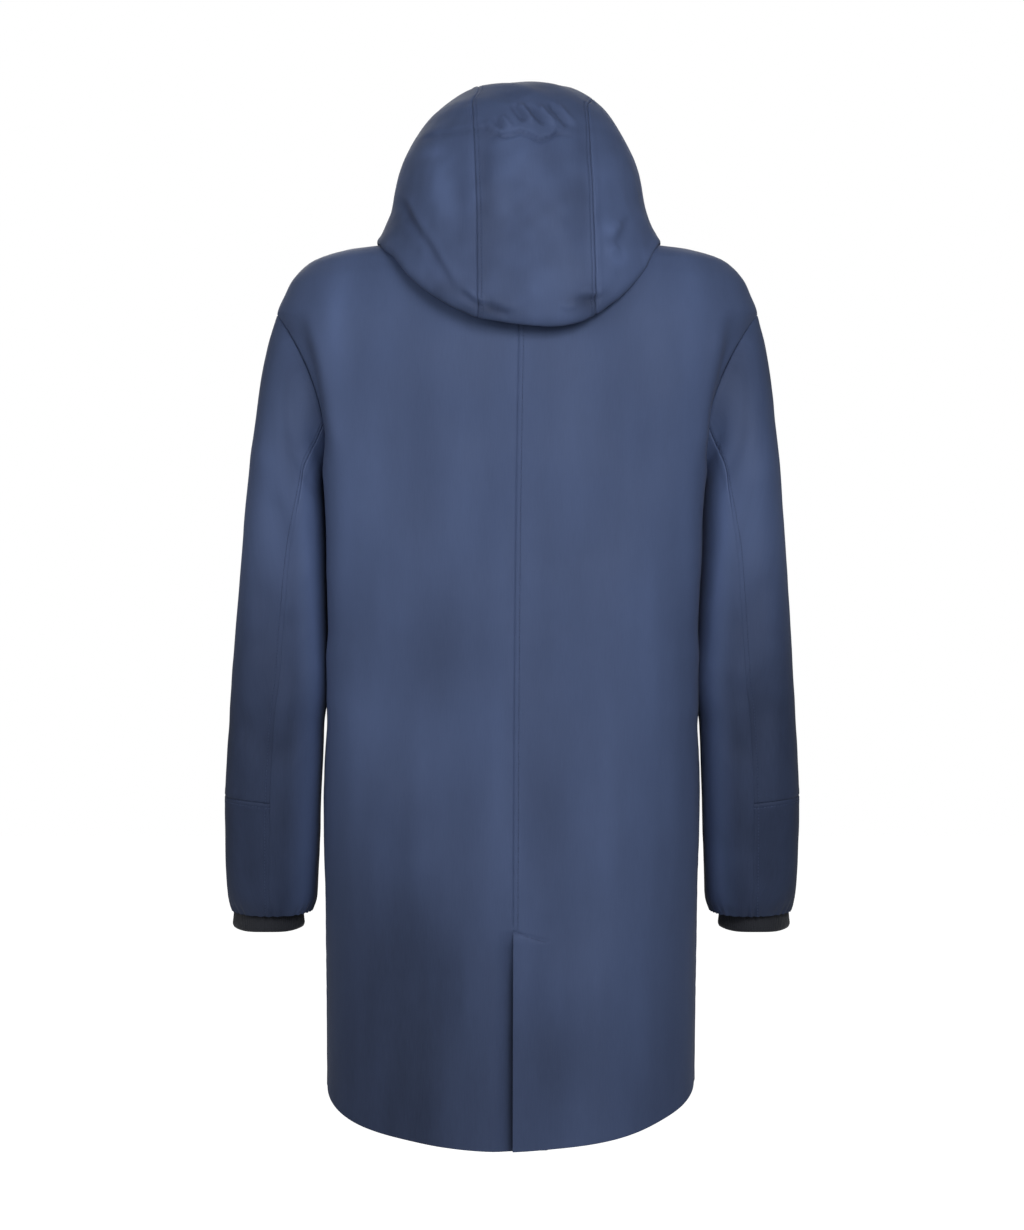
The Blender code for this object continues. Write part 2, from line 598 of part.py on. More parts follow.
def zip_rows():
    """Rows of the left front from the hem to the neck, then of the hood from the neck to the
    chin, with the way out of the cloth at each row's inner end."""
    fronts = list(panel_rows(-1, FRONT_ROWS, NECK_FRONT, ZIP_SLOT))
    sides = [row[::-1] for row in hood_side(1)]
    levels = (crown_level(),) + HOOD_BACK_LEVELS
    rising = [row for row, level in zip(sides, levels) if CHIN <= level < HOOD_NECK][::-1]
    rows = fronts[:len(FRONT_ROWS)] + fronts[len(FRONT_ROWS) + 1::2] + rising
    path = np.array([row[0, 1:] for row in rows])
    leg = np.diff(path, axis=0)
    leg /= np.linalg.norm(leg, axis=1, keepdims=True)
    before, after = np.vstack([leg[:1], leg]), np.vstack([leg, leg[-1:]])
    along = before + after
    along /= np.linalg.norm(along, axis=1, keepdims=True)
    widen = 1.0 / np.sum(along * before, axis=1, keepdims=True)
    out = np.stack([-along[:, 1], along[:, 0]], axis=1) * widen
    return rows, out


def make_zip(tape_finish, metal):
    rows, out = zip_rows()
    under = WALL + ZIP_SINK
    columns = ((SEAM_GAP / 2, ZIP_RISE), (ZIP_COIL, ZIP_RISE), (ZIP_COIL + SEAM_GAP, 0.0),
               (ZIP_TAPE, 0.0))
    grid = []
    for row, away in zip(rows, out):
        line = []
        for across, rise in columns:
            on_panel = [np.interp(across, row[:4, 0], row[:4, i]) for i in (1, 2)]
            line.append([across, *(np.array(on_panel) + away * (rise - under))])
        grid.append(line)
    grid = np.array(grid)
    grid[0, :, 2] += ZIP_HEM
    cloth("zip_left", [grid], (0.0, 0.2, -0.4), tape_finish, wall=ZIP_WALL)
    cloth("zip_right", [mirrored(grid)], (0.0, 0.2, -0.4), tape_finish, wall=ZIP_WALL)

    # the slider stands just below the chin, its pin across the zip
    level = np.array([SLIDER_LEVEL - 0.05, SLIDER_LEVEL, SLIDER_LEVEL + 0.05])
    below, seat, above = hood(np.full(3, -math.pi / 2), level)[::-1]
    lean = math.atan2(below[1] - above[1], above[2] - below[2])
    away = np.array([0.0, -math.cos(lean), -math.sin(lean)])
    face = SEAM_GAP + SLIDER_THICK - (under - ZIP_RISE)
    pin = seat + away * (face + PIN_HEIGHT)

    def block(name, size, centre):
        bpy.ops.mesh.primitive_cube_add(size=1.0)
        made = bpy.context.object
        made.name = name
        made.data.transform(Matrix.Diagonal((*size, 1.0)))
        made.data.transform(Matrix.Translation(centre))
        return made

    def rod(name, radius, length):
        bpy.ops.mesh.primitive_cylinder_add(
            vertices=16, radius=radius, depth=length, rotation=(0.0, math.pi / 2, 0.0))
        made = bpy.context.object
        made.name = name
        made.data.transform(made.matrix_world.to_3x3().to_4x4())
        made.rotation_euler = (0.0, 0.0, 0.0)
        return made

    def move(made, home, turn):
        for old in made.users_collection:
            old.objects.unlink(made)
        home.objects.link(made)
        made.location = pin
        made.rotation_euler = (turn, 0.0, 0.0)

    def join(base, others, operation, turn):
        for other in others:
            move(other, cutters, turn)
            other.hide_render = True
            other.display_type = "WIRE"
            change = base.modifiers.new(other.name, "BOOLEAN")
            change.operation = operation
            change.object = other

    # the body's own axes: x across the zip, -y away from the cloth, +z up along the zip
    body = block("zip_slider", (SLIDER_WIDE, SLIDER_THICK, SLIDER_LONG),
                 (0.0, PIN_HEIGHT + SLIDER_THICK / 2, 0.0))
    lug_size = (LUG_THICK, PIN_HEIGHT + LUG_TOP + SLIDER_THICK / 2, LUG_LONG)
    lug_at = (EYE_WIDE / 2 + 0.75 * SEAM_GAP + LUG_THICK / 2, PIN_HEIGHT + SLIDER_THICK / 2
              - lug_size[1] / 2, 0.0)
    lugs = [block(f"lug_{i}", lug_size, (sign * lug_at[0], lug_at[1], lug_at[2]))
            for i, sign in enumerate((1, -1))]
    join(body, lugs + [rod("pin", PIN_RADIUS, 2 * lug_at[0])], "UNION", lean)
    move(body, windbreaker, lean)
    body.data.materials.append(metal)

    # the pull hangs straight down: a grip, a narrow neck and an eye round the pin
    pull = block("zip_pull", (PULL_WIDE, PULL_THICK, PULL_LONG - NECK_END),
                 (0.0, 0.0, -(PULL_LONG + NECK_END) / 2))
    bevel = pull.modifiers.new("soft edges", "BEVEL")
    bevel.width = 0.0005
    bevel.segments = 2
    neck = block("pull_neck", (EYE_WIDE, PULL_THICK, NECK_END), (0.0, 0.0, -NECK_END / 2 - 0.0012))
    join(pull, [neck, rod("pull_eye", EYE_RADIUS, EYE_WIDE)], "UNION", 0.0)
    join(pull, [rod("pull_bore", EYE_BORE, 3 * EYE_WIDE)], "DIFFERENCE", 0.0)
    move(pull, windbreaker, 0.0)
    pull.data.materials.append(metal)


for old in list(bpy.data.objects):
    bpy.data.objects.remove(old, do_unlink=True)
windbreaker = bpy.data.collections.new("windbreaker")
bpy.context.scene.collection.children.link(windbreaker)
cutters = bpy.data.collections.new("cutters")
bpy.context.scene.collection.children.link(cutters)

shell = material("navy_shell", NAVY, 0.62)
band = material("black_elastic", ELASTIC, 0.85)
make_torso(shell)
make_sleeves(shell, band)
make_hood(shell)
make_zip(material("zip_tape", ZIP_BLACK, 0.7), material("gunmetal", GUNMETAL, 0.38, 1.0))
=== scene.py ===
"""A long hooded windbreaker in thin navy shell cloth, filled out as when it is worn.

The wearer faces -Y and the wearer's left is +X. The origin is the middle of the wearer's neck,
metres, +Z up. Each cut piece of cloth is a surface worked out on a grid from a few tables of
sections, given its creases, sewn edges and stitches, and then the thickness of the cloth.
"""

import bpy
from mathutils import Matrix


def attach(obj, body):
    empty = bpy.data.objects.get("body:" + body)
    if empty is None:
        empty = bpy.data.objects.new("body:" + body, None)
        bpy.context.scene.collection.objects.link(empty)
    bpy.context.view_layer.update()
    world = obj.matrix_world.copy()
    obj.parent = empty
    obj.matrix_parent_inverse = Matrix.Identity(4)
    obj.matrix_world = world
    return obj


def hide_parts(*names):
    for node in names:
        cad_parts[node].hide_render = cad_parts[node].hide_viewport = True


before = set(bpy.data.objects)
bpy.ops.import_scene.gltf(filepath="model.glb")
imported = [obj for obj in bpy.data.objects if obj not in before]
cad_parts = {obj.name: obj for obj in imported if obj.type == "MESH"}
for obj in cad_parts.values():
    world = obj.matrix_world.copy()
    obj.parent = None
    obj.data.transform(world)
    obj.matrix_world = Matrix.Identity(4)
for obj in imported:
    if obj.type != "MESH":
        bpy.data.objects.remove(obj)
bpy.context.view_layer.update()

import math

import bpy
import numpy as np
from mathutils import Vector


# ------------------------------------------------------------------ the body
# Two backs and two fronts of thin woven nylon, 1.2 mm thick with its backing, sewn down the
# middle of the back, at the sides and over the shoulders. The back's middle seam is topstitched
# down to a vent, right half over left, and each front is topstitched beside the zip.
WALL = 0.0012                   # cloth with its backing
SWAY = 0.009                    # the hem hangs this far to the wearer's left of the neck
SWAY_REACH = 0.35               # depth over which it comes in
HEM_TILT = 0.022                # the left side of the hem hangs lower
HEM_ZONE = (-0.70, -0.89)       # heights at which the tilt begins and has come to its full
NECK_HEIGHT = 0.010             # of the neck seam at the sides and at the back
NECK_FRONT = -0.050             # of the neck seam at the front
NECK_SCOOP = 3.5                # power of the sine by which the neck seam dips
UNDERARM = -0.235               # height of the armhole's foot
ARMHOLE_TOP = -0.070
ARMHOLE_OUT = 0.2395            # from the middle of the body at its top
ARMHOLE_IN = 0.184              # and at its foot
ARMHOLE_DEPTH = 0.066           # half its depth from front to back
ARMHOLE_WRAP = 0.016            # its front and its back lie this much further in
SIDE_REACH = 0.062              # half the width of the hollow under the arm
SIDE_TURN = -0.310              # the side seam turns out to the armhole from here up
VENT_TOP = -0.676
VENT_SET = -0.698               # the lower layer has sunk fully from here down
VENT_LAP = 0.036                # from the middle to the edge of the lower layer
VENT_SINK = 0.0060              # how far the lower layer lies below the upper one
VENT_BLEND = 0.020              # and over what distance from the vent it comes back up
VENT_LIFT = 0.0022              # the upper layer's edge stands proud
TACK_TOP = VENT_TOP - 0.0015    # the slanting stitches that close the vent off start here,
TACK_WIDE = 0.031               # run this far across the upper layer
TACK_FALL = 0.010               # and end this much lower
ZIP_SLOT = 0.0045               # half the gap between the two fronts
SEAM_SHIFT = 0.002              # the centre back seam lies this far to the wearer's right

BODY_COLUMNS = ("height", "half_width", "back", "front", "squareness", "hollow")
BODY = (
    (-0.915, 0.1835, 0.1200, 0.1180, 2.6, 0.0000),
    (-0.835, 0.1835, 0.1220, 0.1200, 2.6, 0.0000),
    (-0.655, 0.1855, 0.1260, 0.1250, 2.6, 0.0000),
    (-0.505, 0.1868, 0.1293, 0.1283, 2.7, 0.0005),
    (-0.455, 0.1885, 0.1303, 0.1293, 2.8, 0.0065),
    (-0.400, 0.1910, 0.1315, 0.1302, 3.0, 0.0100),
    (-0.320, 0.1945, 0.1338, 0.1318, 3.3, 0.0140),
    (-0.250, 0.1985, 0.1355, 0.1320, 3.5, 0.0215),
    (-0.200, 0.2030, 0.1362, 0.1305, 3.4, 0.0150),
    (-0.155, 0.2090, 0.1350, 0.1255, 3.2, 0.0070),
    (-0.120, 0.2190, 0.1310, 0.1180, 2.9, 0.0020),
    (-0.095, 0.2320, 0.1270, 0.1105, 2.5, 0.0000),
    (-0.070, 0.2395, 0.1210, 0.0980, 2.3, 0.0000),
    (-0.050, 0.2320, 0.1145, 0.0850, 2.2, 0.0000),
    (-0.034, 0.2240, 0.1080, 0.0790, 2.1, 0.0000),
    (-0.024, 0.2150, 0.1030, 0.0760, 2.0, 0.0000),
    (-0.015, 0.2025, 0.0970, 0.0730, 2.0, 0.0000),
    (-0.010, 0.1890, 0.0925, 0.0710, 2.0, 0.0000),
    (-0.006, 0.1730, 0.0890, 0.0695, 2.0, 0.0000),
    (-0.003, 0.1450, 0.0865, 0.0685, 2.0, 0.0000),
    (0.002, 0.1100, 0.0820, 0.0665, 2.0, 0.0000),
    (0.010, 0.0850, 0.0750, 0.0650, 2.0, 0.0000),
)
# Rows of a half body below the armhole: height at the side seam and at the centre line.
ROW_COLUMNS = ("side", "centre")
BACK_ROWS = (
    (-0.8350, -0.8910), (-0.7780, -0.8180), (-0.7240, -0.7540), (-0.6840, -0.7090),
    (-0.6650, -0.6870), (-0.5850, -0.5950), (-0.5000, -0.5000), (-0.4000, -0.4000),
    (-0.3100, -0.3100), (-0.2350, -0.2350),
)
FRONT_ROWS = (
    (-0.8350, -0.8750), (-0.7750, -0.8030), (-0.7000, -0.7200), (-0.6050, -0.6150),
    (-0.5000, -0.5000), (-0.4000, -0.4000), (-0.3100, -0.3100), (-0.2350, -0.2350),
)
# Creases, seen squarely from the back or from the front: a path of places across and up, the
# half width and the height of a soft ridge (a trough below nought) along it and, for a ridge
# with a trough beside it, how far the two stand from the path to its left and its right.
BACK_CREASES = (
    (((0.2137, -0.063), (0.2040, -0.112), (0.1965, -0.160), (0.189, -0.229)), 0.008, 0.0030, 0.006),
    (((-0.208, -0.063), (-0.1985, -0.112), (-0.190, -0.160), (-0.182, -0.229)), 0.008, -0.0030, 0.006),
    (((0.150, -0.075), (0.140, -0.170), (0.150, -0.300)), 0.026, -0.0022),
    (((-0.120, -0.090), (-0.135, -0.190), (-0.140, -0.330)), 0.024, -0.0018),
    (((0.115, -0.110), (0.095, -0.230), (0.105, -0.330)), 0.034, -0.0018),
    (((0.060, -0.180), (0.045, -0.300), (0.052, -0.430)), 0.024, 0.0016),
    (((-0.060, -0.200), (-0.050, -0.380), (-0.060, -0.560)), 0.030, -0.0022),
    (((-0.100, -0.260), (-0.092, -0.420), (-0.105, -0.700)), 0.030, 0.0026),
    (((0.140, -0.380), (0.122, -0.480), (0.120, -0.560)), 0.030, -0.0018),
    (((0.075, -0.440), (0.085, -0.620), (0.070, -0.760)), 0.034, 0.0030),
    (((0.040, -0.420), (0.036, -0.560), (0.036, -0.720)), 0.030, 0.0026),
    (((0.075, -0.700), (0.062, -0.820), (0.050, -1.000)), 0.020, -0.0016),
    (((0.120, -0.600), (0.112, -0.760), (0.096, -1.080)), 0.050, -0.0130),
    (((-0.040, -0.600), (-0.034, -0.760), (-0.040, -1.000)), 0.024, -0.0022),
    (((-0.085, -0.640), (-0.080, -0.800), (-0.090, -1.020)), 0.030, 0.0044),
    (((-0.140, -0.560), (-0.150, -0.720), (-0.140, -1.000)), 0.026, -0.0030),
    (((0.187, -0.380), (0.188, -0.440), (0.186, -0.485)), 0.022, 0.0022),
    (((-0.178, -0.380), (-0.176, -0.440), (-0.174, -0.485)), 0.022, 0.0022),
)
FRONT_CREASES = (
    (((0.2090, -0.063), (0.2000, -0.112), (0.192, -0.160), (0.186, -0.229)), 0.008, 0.0026, 0.006),
    (((-0.202, -0.063), (-0.193, -0.112), (-0.184, -0.160), (-0.178, -0.229)), 0.008, -0.0026, 0.006),
    (((0.105, -0.060), (0.125, -0.150), (0.150, -0.260)), 0.026, -0.0024),
    (((-0.100, -0.060), (-0.120, -0.140), (-0.142, -0.250)), 0.026, -0.0022),
    (((0.060, -0.110), (0.046, -0.220), (0.040, -0.340)), 0.026, 0.0022),
    (((-0.052, -0.140), (-0.050, -0.260), (-0.060, -0.400)), 0.028, 0.0020),
    (((0.125, -0.300), (0.108, -0.420), (0.100, -0.560)), 0.034, -0.0034),
    (((-0.115, -0.320), (-0.098, -0.460), (-0.100, -0.620)), 0.034, -0.0036),
    (((0.070, -0.460), (0.076, -0.640), (0.080, -0.840)), 0.034, 0.0040),
    (((-0.062, -0.520), (-0.070, -0.700), (-0.070, -0.860)), 0.034, 0.0040),
    (((0.132, -0.600), (0.128, -0.740), (0.118, -0.870)), 0.032, -0.0050),
    (((-0.130, -0.620), (-0.126, -0.760), (-0.118, -0.870)), 0.032, -0.0046),
    (((0.030, -0.620), (0.026, -0.760), (0.028, -0.870)), 0.018, -0.0018),
    (((-0.024, -0.340), (-0.022, -0.480), (-0.026, -0.640)), 0.020, -0.0014),
)


def table(columns, rows):
    """The columns of a table as named arrays."""
    values = np.array(rows, dtype=float)
    return {name: values[:, i] for i, name in enumerate(columns)}


def smooth(x, knots, values):
    """A curve through the knots: between two knots a cubic whose slopes come from the knots'
    neighbours."""
    x = np.asarray(x, dtype=float)
    slopes = np.gradient(values, knots)
    i = np.clip(np.searchsorted(knots, x) - 1, 0, len(knots) - 2)
    span = knots[i + 1] - knots[i]
    t = np.clip((x - knots[i]) / span, 0.0, 1.0)
    return ((1 + 2 * t) * (1 - t) ** 2 * values[i] + t * (1 - t) ** 2 * span * slopes[i]
            + t ** 2 * (3 - 2 * t) * values[i + 1] + t ** 2 * (t - 1) * span * slopes[i + 1])


def fade(x):
    """Nought up to 0, one from 1 on, and a smooth step between: 3x squared less 2x cubed."""
    x = np.clip(x, 0.0, 1.0)
    return x * x * (3.0 - 2.0 * x)


def ramp(x, start, end):
    """Nought up to the start, one from the end on, and a smooth step between."""
    return fade((x - start) / (end - start))


BODY_AT = table(BODY_COLUMNS, BODY)


def hang(points):
    """The garment hangs a little to one side: x grows by the sway times one less the
    exponential of the depth over its reach, and the hem tilts in its own zone."""
    below = np.minimum(points[..., 2], 0.0)
    points = points.copy()
    down = np.clip((HEM_ZONE[0] - below) / (HEM_ZONE[0] - HEM_ZONE[1]), 0.0, None)
    points[..., 2] -= HEM_TILT * points[..., 0] * down ** 2
    points[..., 0] += SWAY * (1.0 - np.exp(below / SWAY_REACH))
    return points


def body(angle, height):
    """A point of the body at an angle about the neck's axis (0 left, 90 degrees back) and a
    height: a superellipse section, less a bell-shaped hollow at the side where the arm lies."""
    c, s = np.cos(angle), np.sin(angle)
    at = {name: smooth(height, BODY_AT["height"], BODY_AT[name]) for name in BODY_COLUMNS[1:]}
    deep = np.where(s > 0, at["back"], at["front"])
    power = at["squareness"]
    radius = ((np.abs(c) / at["half_width"]) ** power + (np.abs(s) / deep) ** power)
    radius = radius ** (-1.0 / power)
    x, y = radius * c, radius * s
    x = x - np.sign(c) * at["hollow"] * np.exp(-(y / SIDE_REACH) ** 2)
    return np.stack([x, y, height + 0.0 * x], axis=-1)


def armhole(turn):
    """A point of the left armhole seam at an angle round it (0 at the top, 90 degrees back)."""
    c, s = np.cos(turn), np.sin(turn)
    x = (ARMHOLE_OUT + ARMHOLE_IN) / 2 + (ARMHOLE_OUT - ARMHOLE_IN) / 2 * c
    z = (ARMHOLE_TOP + UNDERARM) / 2 + (ARMHOLE_TOP - UNDERARM) / 2 * c
    return np.stack([x - ARMHOLE_WRAP * s ** 2, ARMHOLE_DEPTH * s, z], axis=-1)


def neck_dip(angle):
    """How far the neck seam has dipped at an angle: a high power of the angle's sine."""
    return np.abs(np.sin(angle)) ** NECK_SCOOP


def neck_seam(angle):
    """A point of the neck seam."""
    low = np.where(np.sin(angle) > 0, NECK_HEIGHT, NECK_FRONT)
    return body(angle, NECK_HEIGHT + (low - NECK_HEIGHT) * neck_dip(angle))


# Distances of the grid's lines from a sewn edge: close together over the seam and its stitches.
EDGE = np.array([0, 0.4, 0.9, 1.5, 2.2, 3.0, 3.8, 4.4, 5.0, 5.6, 6.4, 8.0, 10.5, 14, 18.5, 24]) / 1e3
STITCH_LINE = 7                 # place in EDGE of the line of stitches
VENT_ROWS = np.arange(0.1642, 0.1850, 0.0010)   # finer rows at the vent's top, above the hem
SIDE_LENGTH = 0.6               # from the hem to the armhole's foot
ROW_STEP = 0.0048               # between rows below the armhole
ARMHOLE_ROWS = 62
SHOULDER_ROWS = 26
BODY_MIDDLE = 42                # columns of a half body between its two sewn edges
TRACE = 260                     # places at which a row is worked out before it is spaced
ROUND_TO_END = 3.0              # power by which a row's angle comes round to that of its end
DRAWN_FROM = 0.55               # share of a row from which it is drawn to its end


def runs(points, axis):
    """Distance along the lines of a grid from their first points."""
    steps = np.linalg.norm(np.diff(points, axis=axis), axis=-1)
    start = np.zeros_like(np.take(steps, [0], axis=axis))
    return np.concatenate([start, np.cumsum(steps, axis=axis)], axis=axis)


def along_path(at, run, values):
    """Values of a path at these distances along it, in proportion between its points."""
    return np.stack([np.interp(at, run, column) for column in values.T], axis=-1)


def places(length, middle, first=True, last=True):
    """Distances along a line of this length: the edge's spacing at its sewn ends and an even
    one between. Works on a column of lengths too."""
    length = np.asarray(length, dtype=float)[..., None]
    left = EDGE if first else EDGE[:1]
    right = EDGE[::-1] if last else EDGE[:1]
    even = np.linspace(0.0, 1.0, middle + 2)[1:-1]
    inner = left[-1] + (length - right[0] - left[-1]) * even
    return np.concatenate([left + 0.0 * length, inner, length - right], axis=-1)


def respace(rows, middle, first=True, last=True):
    """Every row of a grid laid out again at the distances that places gives along it."""
    run = runs(rows, 1)
    want = places(run[:, -1], middle, first, last)
    return np.array([along_path(*line) for line in zip(want, run, rows)])


def half_body(side, rows, edge_x):
    """The left half of the back (side 1) or of the front (side -1) as a grid, hem to neck and
    centre to side. A row runs from the centre line to its own point of the side seam, the
    armhole or the shoulder, along the body's surface; its last part is drawn to that point."""
    at = table(ROW_COLUMNS, rows)
    even = np.arange(EDGE[-1], SIDE_LENGTH, ROW_STEP)
    rise = np.unique(np.concatenate([EDGE, even, VENT_ROWS, [SIDE_LENGTH]]))
    heights = at["side"][0] + rise
    lower = body(np.zeros_like(heights), heights)
    turned = ramp(heights, SIDE_TURN, UNDERARM)[:, None]
    lower = lower + turned * (armhole(np.array([math.pi])) - body(np.zeros(1), np.array([UNDERARM])))
    around = armhole(np.linspace(math.pi, 0.0, ARMHOLE_ROWS)[1:] * side)
    over = np.linspace(ARMHOLE_TOP, NECK_HEIGHT, SHOULDER_ROWS)[1:]
    shoulder = body(np.zeros_like(over), over)
    outer = np.concatenate([lower, around, shoulder])
    neck = NECK_HEIGHT if side > 0 else NECK_FRONT
    steeper = (neck - UNDERARM) / (NECK_HEIGHT - UNDERARM)
    upper = outer[len(lower):, 2]
    centre = np.concatenate([np.interp(heights, at["side"], at["centre"]),
                             UNDERARM + (upper - UNDERARM) * steeper])
    share = np.linspace(0.0, 1.0, TRACE)[None, :]
    deep = np.abs(body(np.full_like(centre, side * math.pi / 2), centre)[:, 1])
    start = np.arctan2(side * deep, edge_x)[:, None]
    end = np.arctan2(outer[:, 1], outer[:, 0])[:, None]
    angle = start * (1.0 - share) + end * share ** ROUND_TO_END
    hem_edge = body(angle, np.full_like(angle, at["side"][0]))
    hem_dip = np.sqrt(np.clip(1.0 - (hem_edge[..., 0] / BODY_AT["half_width"][1]) ** 2, 0.0, 1.0))
    dip = np.where(np.arange(len(outer))[:, None] >= len(lower), neck_dip(angle), hem_dip)
    dip = (dip - dip[:, -1:]) / (dip[:, :1] - dip[:, -1:])
    line = body(angle, outer[:, 2:] + (centre[:, None] - outer[:, 2:]) * dip)
    reach = np.clip((share - DRAWN_FROM) / (1.0 - DRAWN_FROM), 0.0, 1.0) ** 4
    return line + reach[..., None] * (outer[:, None] - line[:, -1:])


def outward(grid, inside):
    """Unit normals of a grid: the cross product of its two directions, turned away from a point
    inside the garment."""
    normal = np.cross(np.gradient(grid, axis=1), np.gradient(grid, axis=0))
    normal /= np.maximum(np.linalg.norm(normal, axis=-1, keepdims=True), 1e-12)
    away = np.sum(normal * (grid - np.array(inside)))
    return normal if away > 0 else -normal


def between(grid, row, column):
    """Values of a grid at places between its rows and columns, in proportion."""
    i, j = row.astype(int), column.astype(int)
    a, b = (row - i)[:, None], (column - j)[:, None]
    low = grid[i, j] * (1 - a) + grid[i + 1, j] * a
    return low * (1 - b) + (grid[i, j + 1] * (1 - a) + grid[i + 1, j + 1] * a) * b


def unevenness(s, t, size, seed):
    """Smooth noise between -1 and 1 over two coordinates in metres: random values on a lattice
    of this size, blended with the smooth step."""
    lattice = np.random.default_rng(seed).uniform(-1.0, 1.0, (97, 97))
    s, t = s / size + 31.7, t / size + 53.3
    i, j = np.floor(s).astype(int), np.floor(t).astype(int)
    a, b = fade(s - i), fade(t - j)
    i, j = i % 96, j % 96
    low = lattice[i, j] * (1 - a) + lattice[i + 1, j] * a
    high = lattice[i, j + 1] * (1 - a) + lattice[i + 1, j + 1] * a
    return low * (1 - b) + high * b


def creases(points, rows, seed):
    """Height of a table's creases at the points. Each is a bell-shaped ridge, or a ridge with a
    trough beside it, about a path that wanders a little, and it fades towards its ends."""
    x = points[..., 0] + 0.005 * unevenness(points[..., 0], points[..., 2], 0.060, seed)
    z = points[..., 2] + 0.005 * unevenness(points[..., 0], points[..., 2], 0.045, seed + 1)
    height = np.zeros_like(x)
    for path, width, depth, *twin in rows:
        path = np.array(path)
        legs = np.diff(path, axis=0)
        sizes = np.linalg.norm(legs, axis=1)
        gone = np.concatenate([[0.0], np.cumsum(sizes)])
        nearest, share = np.full_like(x, 9.0), np.zeros_like(x)
        for (px, pz), (dx, dz), size, before in zip(path, legs, sizes, gone):
            q = np.clip(((x - px) * dx + (z - pz) * dz) / size ** 2, 0.0, 1.0)
            off = np.hypot(x - px - q * dx, z - pz - q * dz)
            off = np.copysign(off, (x - px) * dz - (z - pz) * dx)
            nearer = np.abs(off) < np.abs(nearest)
            nearest = np.where(nearer, off, nearest)
            share = np.where(nearer, (before + q * size) / gone[-1], share)
        apart = twin[0] if twin else 0.0
        shape = np.exp(-((nearest - apart) / width) ** 2)
        if twin:
            shape = shape - np.exp(-((nearest + apart) / width) ** 2)
        height += depth * shape * fade(3.5 * share) * fade(3.5 * (1.0 - share))
    return height


def shading_patches(points, rows):
    """Soft areas of painted light and shade on the cloth: the sum of a table's bell shapes, each with
    its middle and its reach across and up."""
    tone = np.zeros_like(points[..., 0])
    for (x, z), (wide, high), amount in rows:
        off = ((points[..., 0] - x) / wide) ** 2 + ((points[..., 2] - z) / high) ** 2
        tone += amount * np.exp(-off)
    return tone


def seam_relief(away, points, stitched=True, strength=1.0):
    """Height of the cloth beside a seam: the groove where two pieces meet, the swelling of the
    allowance under the cloth, the dint of the stitches, and the puckers that they draw up, all
    times a strength, which may vary over the grid. It depends on the place alone, so it is the
    same on both sides of a seam."""
    along = points[..., 2] - 0.7 * points[..., 1]
    groove = -0.0006 * np.exp(-(away / 0.0009) ** 2)
    swell = 0.00022 * ramp(away, 0.0, 0.002) * ramp(away, 0.0095, 0.0055)
    dint = -0.00026 * np.exp(-((away - EDGE[STITCH_LINE]) / 0.0008) ** 2) if stitched else 0.0
    pucker = unevenness(along, 0.0 * along, 0.0075, 7) + 0.5 * unevenness(along, away, 0.015, 8)
    return strength * (groove + swell + dint + 0.00020 * pucker * np.exp(-(away / 0.010) ** 2))


def shaped_object(name, points, faces, finish):
    """A new object in the scene, from its points and faces, in one finish."""
    mesh = bpy.data.meshes.new(name)
    mesh.from_pydata(points.tolist(), [], faces.tolist())
    mesh.materials.append(finish)
    made = bpy.data.objects.new(name, mesh)
    bpy.context.scene.collection.objects.link(made)
    return made


SAME_PLACE = 0.00002            # points nearer than this are welded into one


def cloth_mesh(name, grids, inside, finish, wall=WALL, tone_and_painted_shading=None):
    """One object from grids of points that share their edges: a grid's faces, with a UV map of
    distances along the cloth in metres, welded where grids meet, and a wall inwards. The last argument
    says where the first grid's colour is lighter (above nought) or darker: its random tone, painted
    highlights on the creases' ridges, painted shade in their troughs, and painted light and shade
    where the lamps fall."""
    points, faces, coords, marks, count = [], [], [], [], 0
    for grid in grids:
        marks.append(np.zeros(grid[..., 0].size) if tone_and_painted_shading is None or marks else tone_and_painted_shading.ravel())
        rows, columns = grid.shape[:2]
        index = np.arange(rows * columns).reshape(rows, columns) + count
        ring = [index[:-1, :-1], index[:-1, 1:], index[1:, 1:], index[1:, :-1]]
        quads = np.stack([part.ravel() for part in ring], axis=1)
        one = grid.reshape(-1, 3)
        a, b, c = one[quads[:, 0] - count], one[quads[:, 1] - count], one[quads[:, 3] - count]
        middle = (b + c) / 2 - np.array(inside)
        if np.sum(np.cross(b - a, c - a) * middle) < 0:
            quads = quads[:, ::-1]
        points.append(hang(one))
        faces.append(quads)
        coords.append(np.stack([runs(grid, 1), runs(grid, 0)], axis=-1).reshape(-1, 2))
        count += rows * columns
    points, faces, coords = np.concatenate(points), np.concatenate(faces), np.concatenate(coords)
    made = shaped_object(name, points, faces, finish)
    mesh = made.data
    layer = mesh.uv_layers.new(name="cloth")
    layer.data.foreach_set("uv", coords[faces.ravel()].astype(np.float32).ravel())
    # the cloth's random tone, with its painted light and shade, as a point attribute
    mark = mesh.attributes.new("tone_and_painted_shading", "FLOAT", "POINT")
    mark.data.foreach_set("value", np.concatenate(marks).astype(np.float32))
    mesh.shade_smooth()
    if len(grids) > 1:
        weld = made.modifiers.new("joined", "WELD")
        weld.merge_threshold = SAME_PLACE
    thick = made.modifiers.new("cloth", "SOLIDIFY")
    thick.thickness = wall
    thick.offset = -1.0
    return made


def tube_faces(rings, sides, caps, count):
    """Faces of many equal tubes: quads between each ring of points and the next, and caps."""
    quads = [(sides * i + k, sides * i + (k + 1) % sides,
              sides * (i + 1) + (k + 1) % sides, sides * (i + 1) + k)
             for i in range(rings - 1) for k in range(sides)]
    faces = np.array(quads + caps)[None] + rings * sides * np.arange(count)[:, None, None]
    return faces.reshape(-1, 4)


STITCH_PITCH = 0.0034
STITCH_LENGTH = 0.0025
STITCH_RADIUS = 0.00032
STITCH_RISE = 0.00012           # the thread's middle above the cloth's outer side
STITCH_RINGS = ((-0.5, 0.35), (-0.3, 1.0), (0.3, 1.0), (0.5, 0.35))   # share along, and of radius


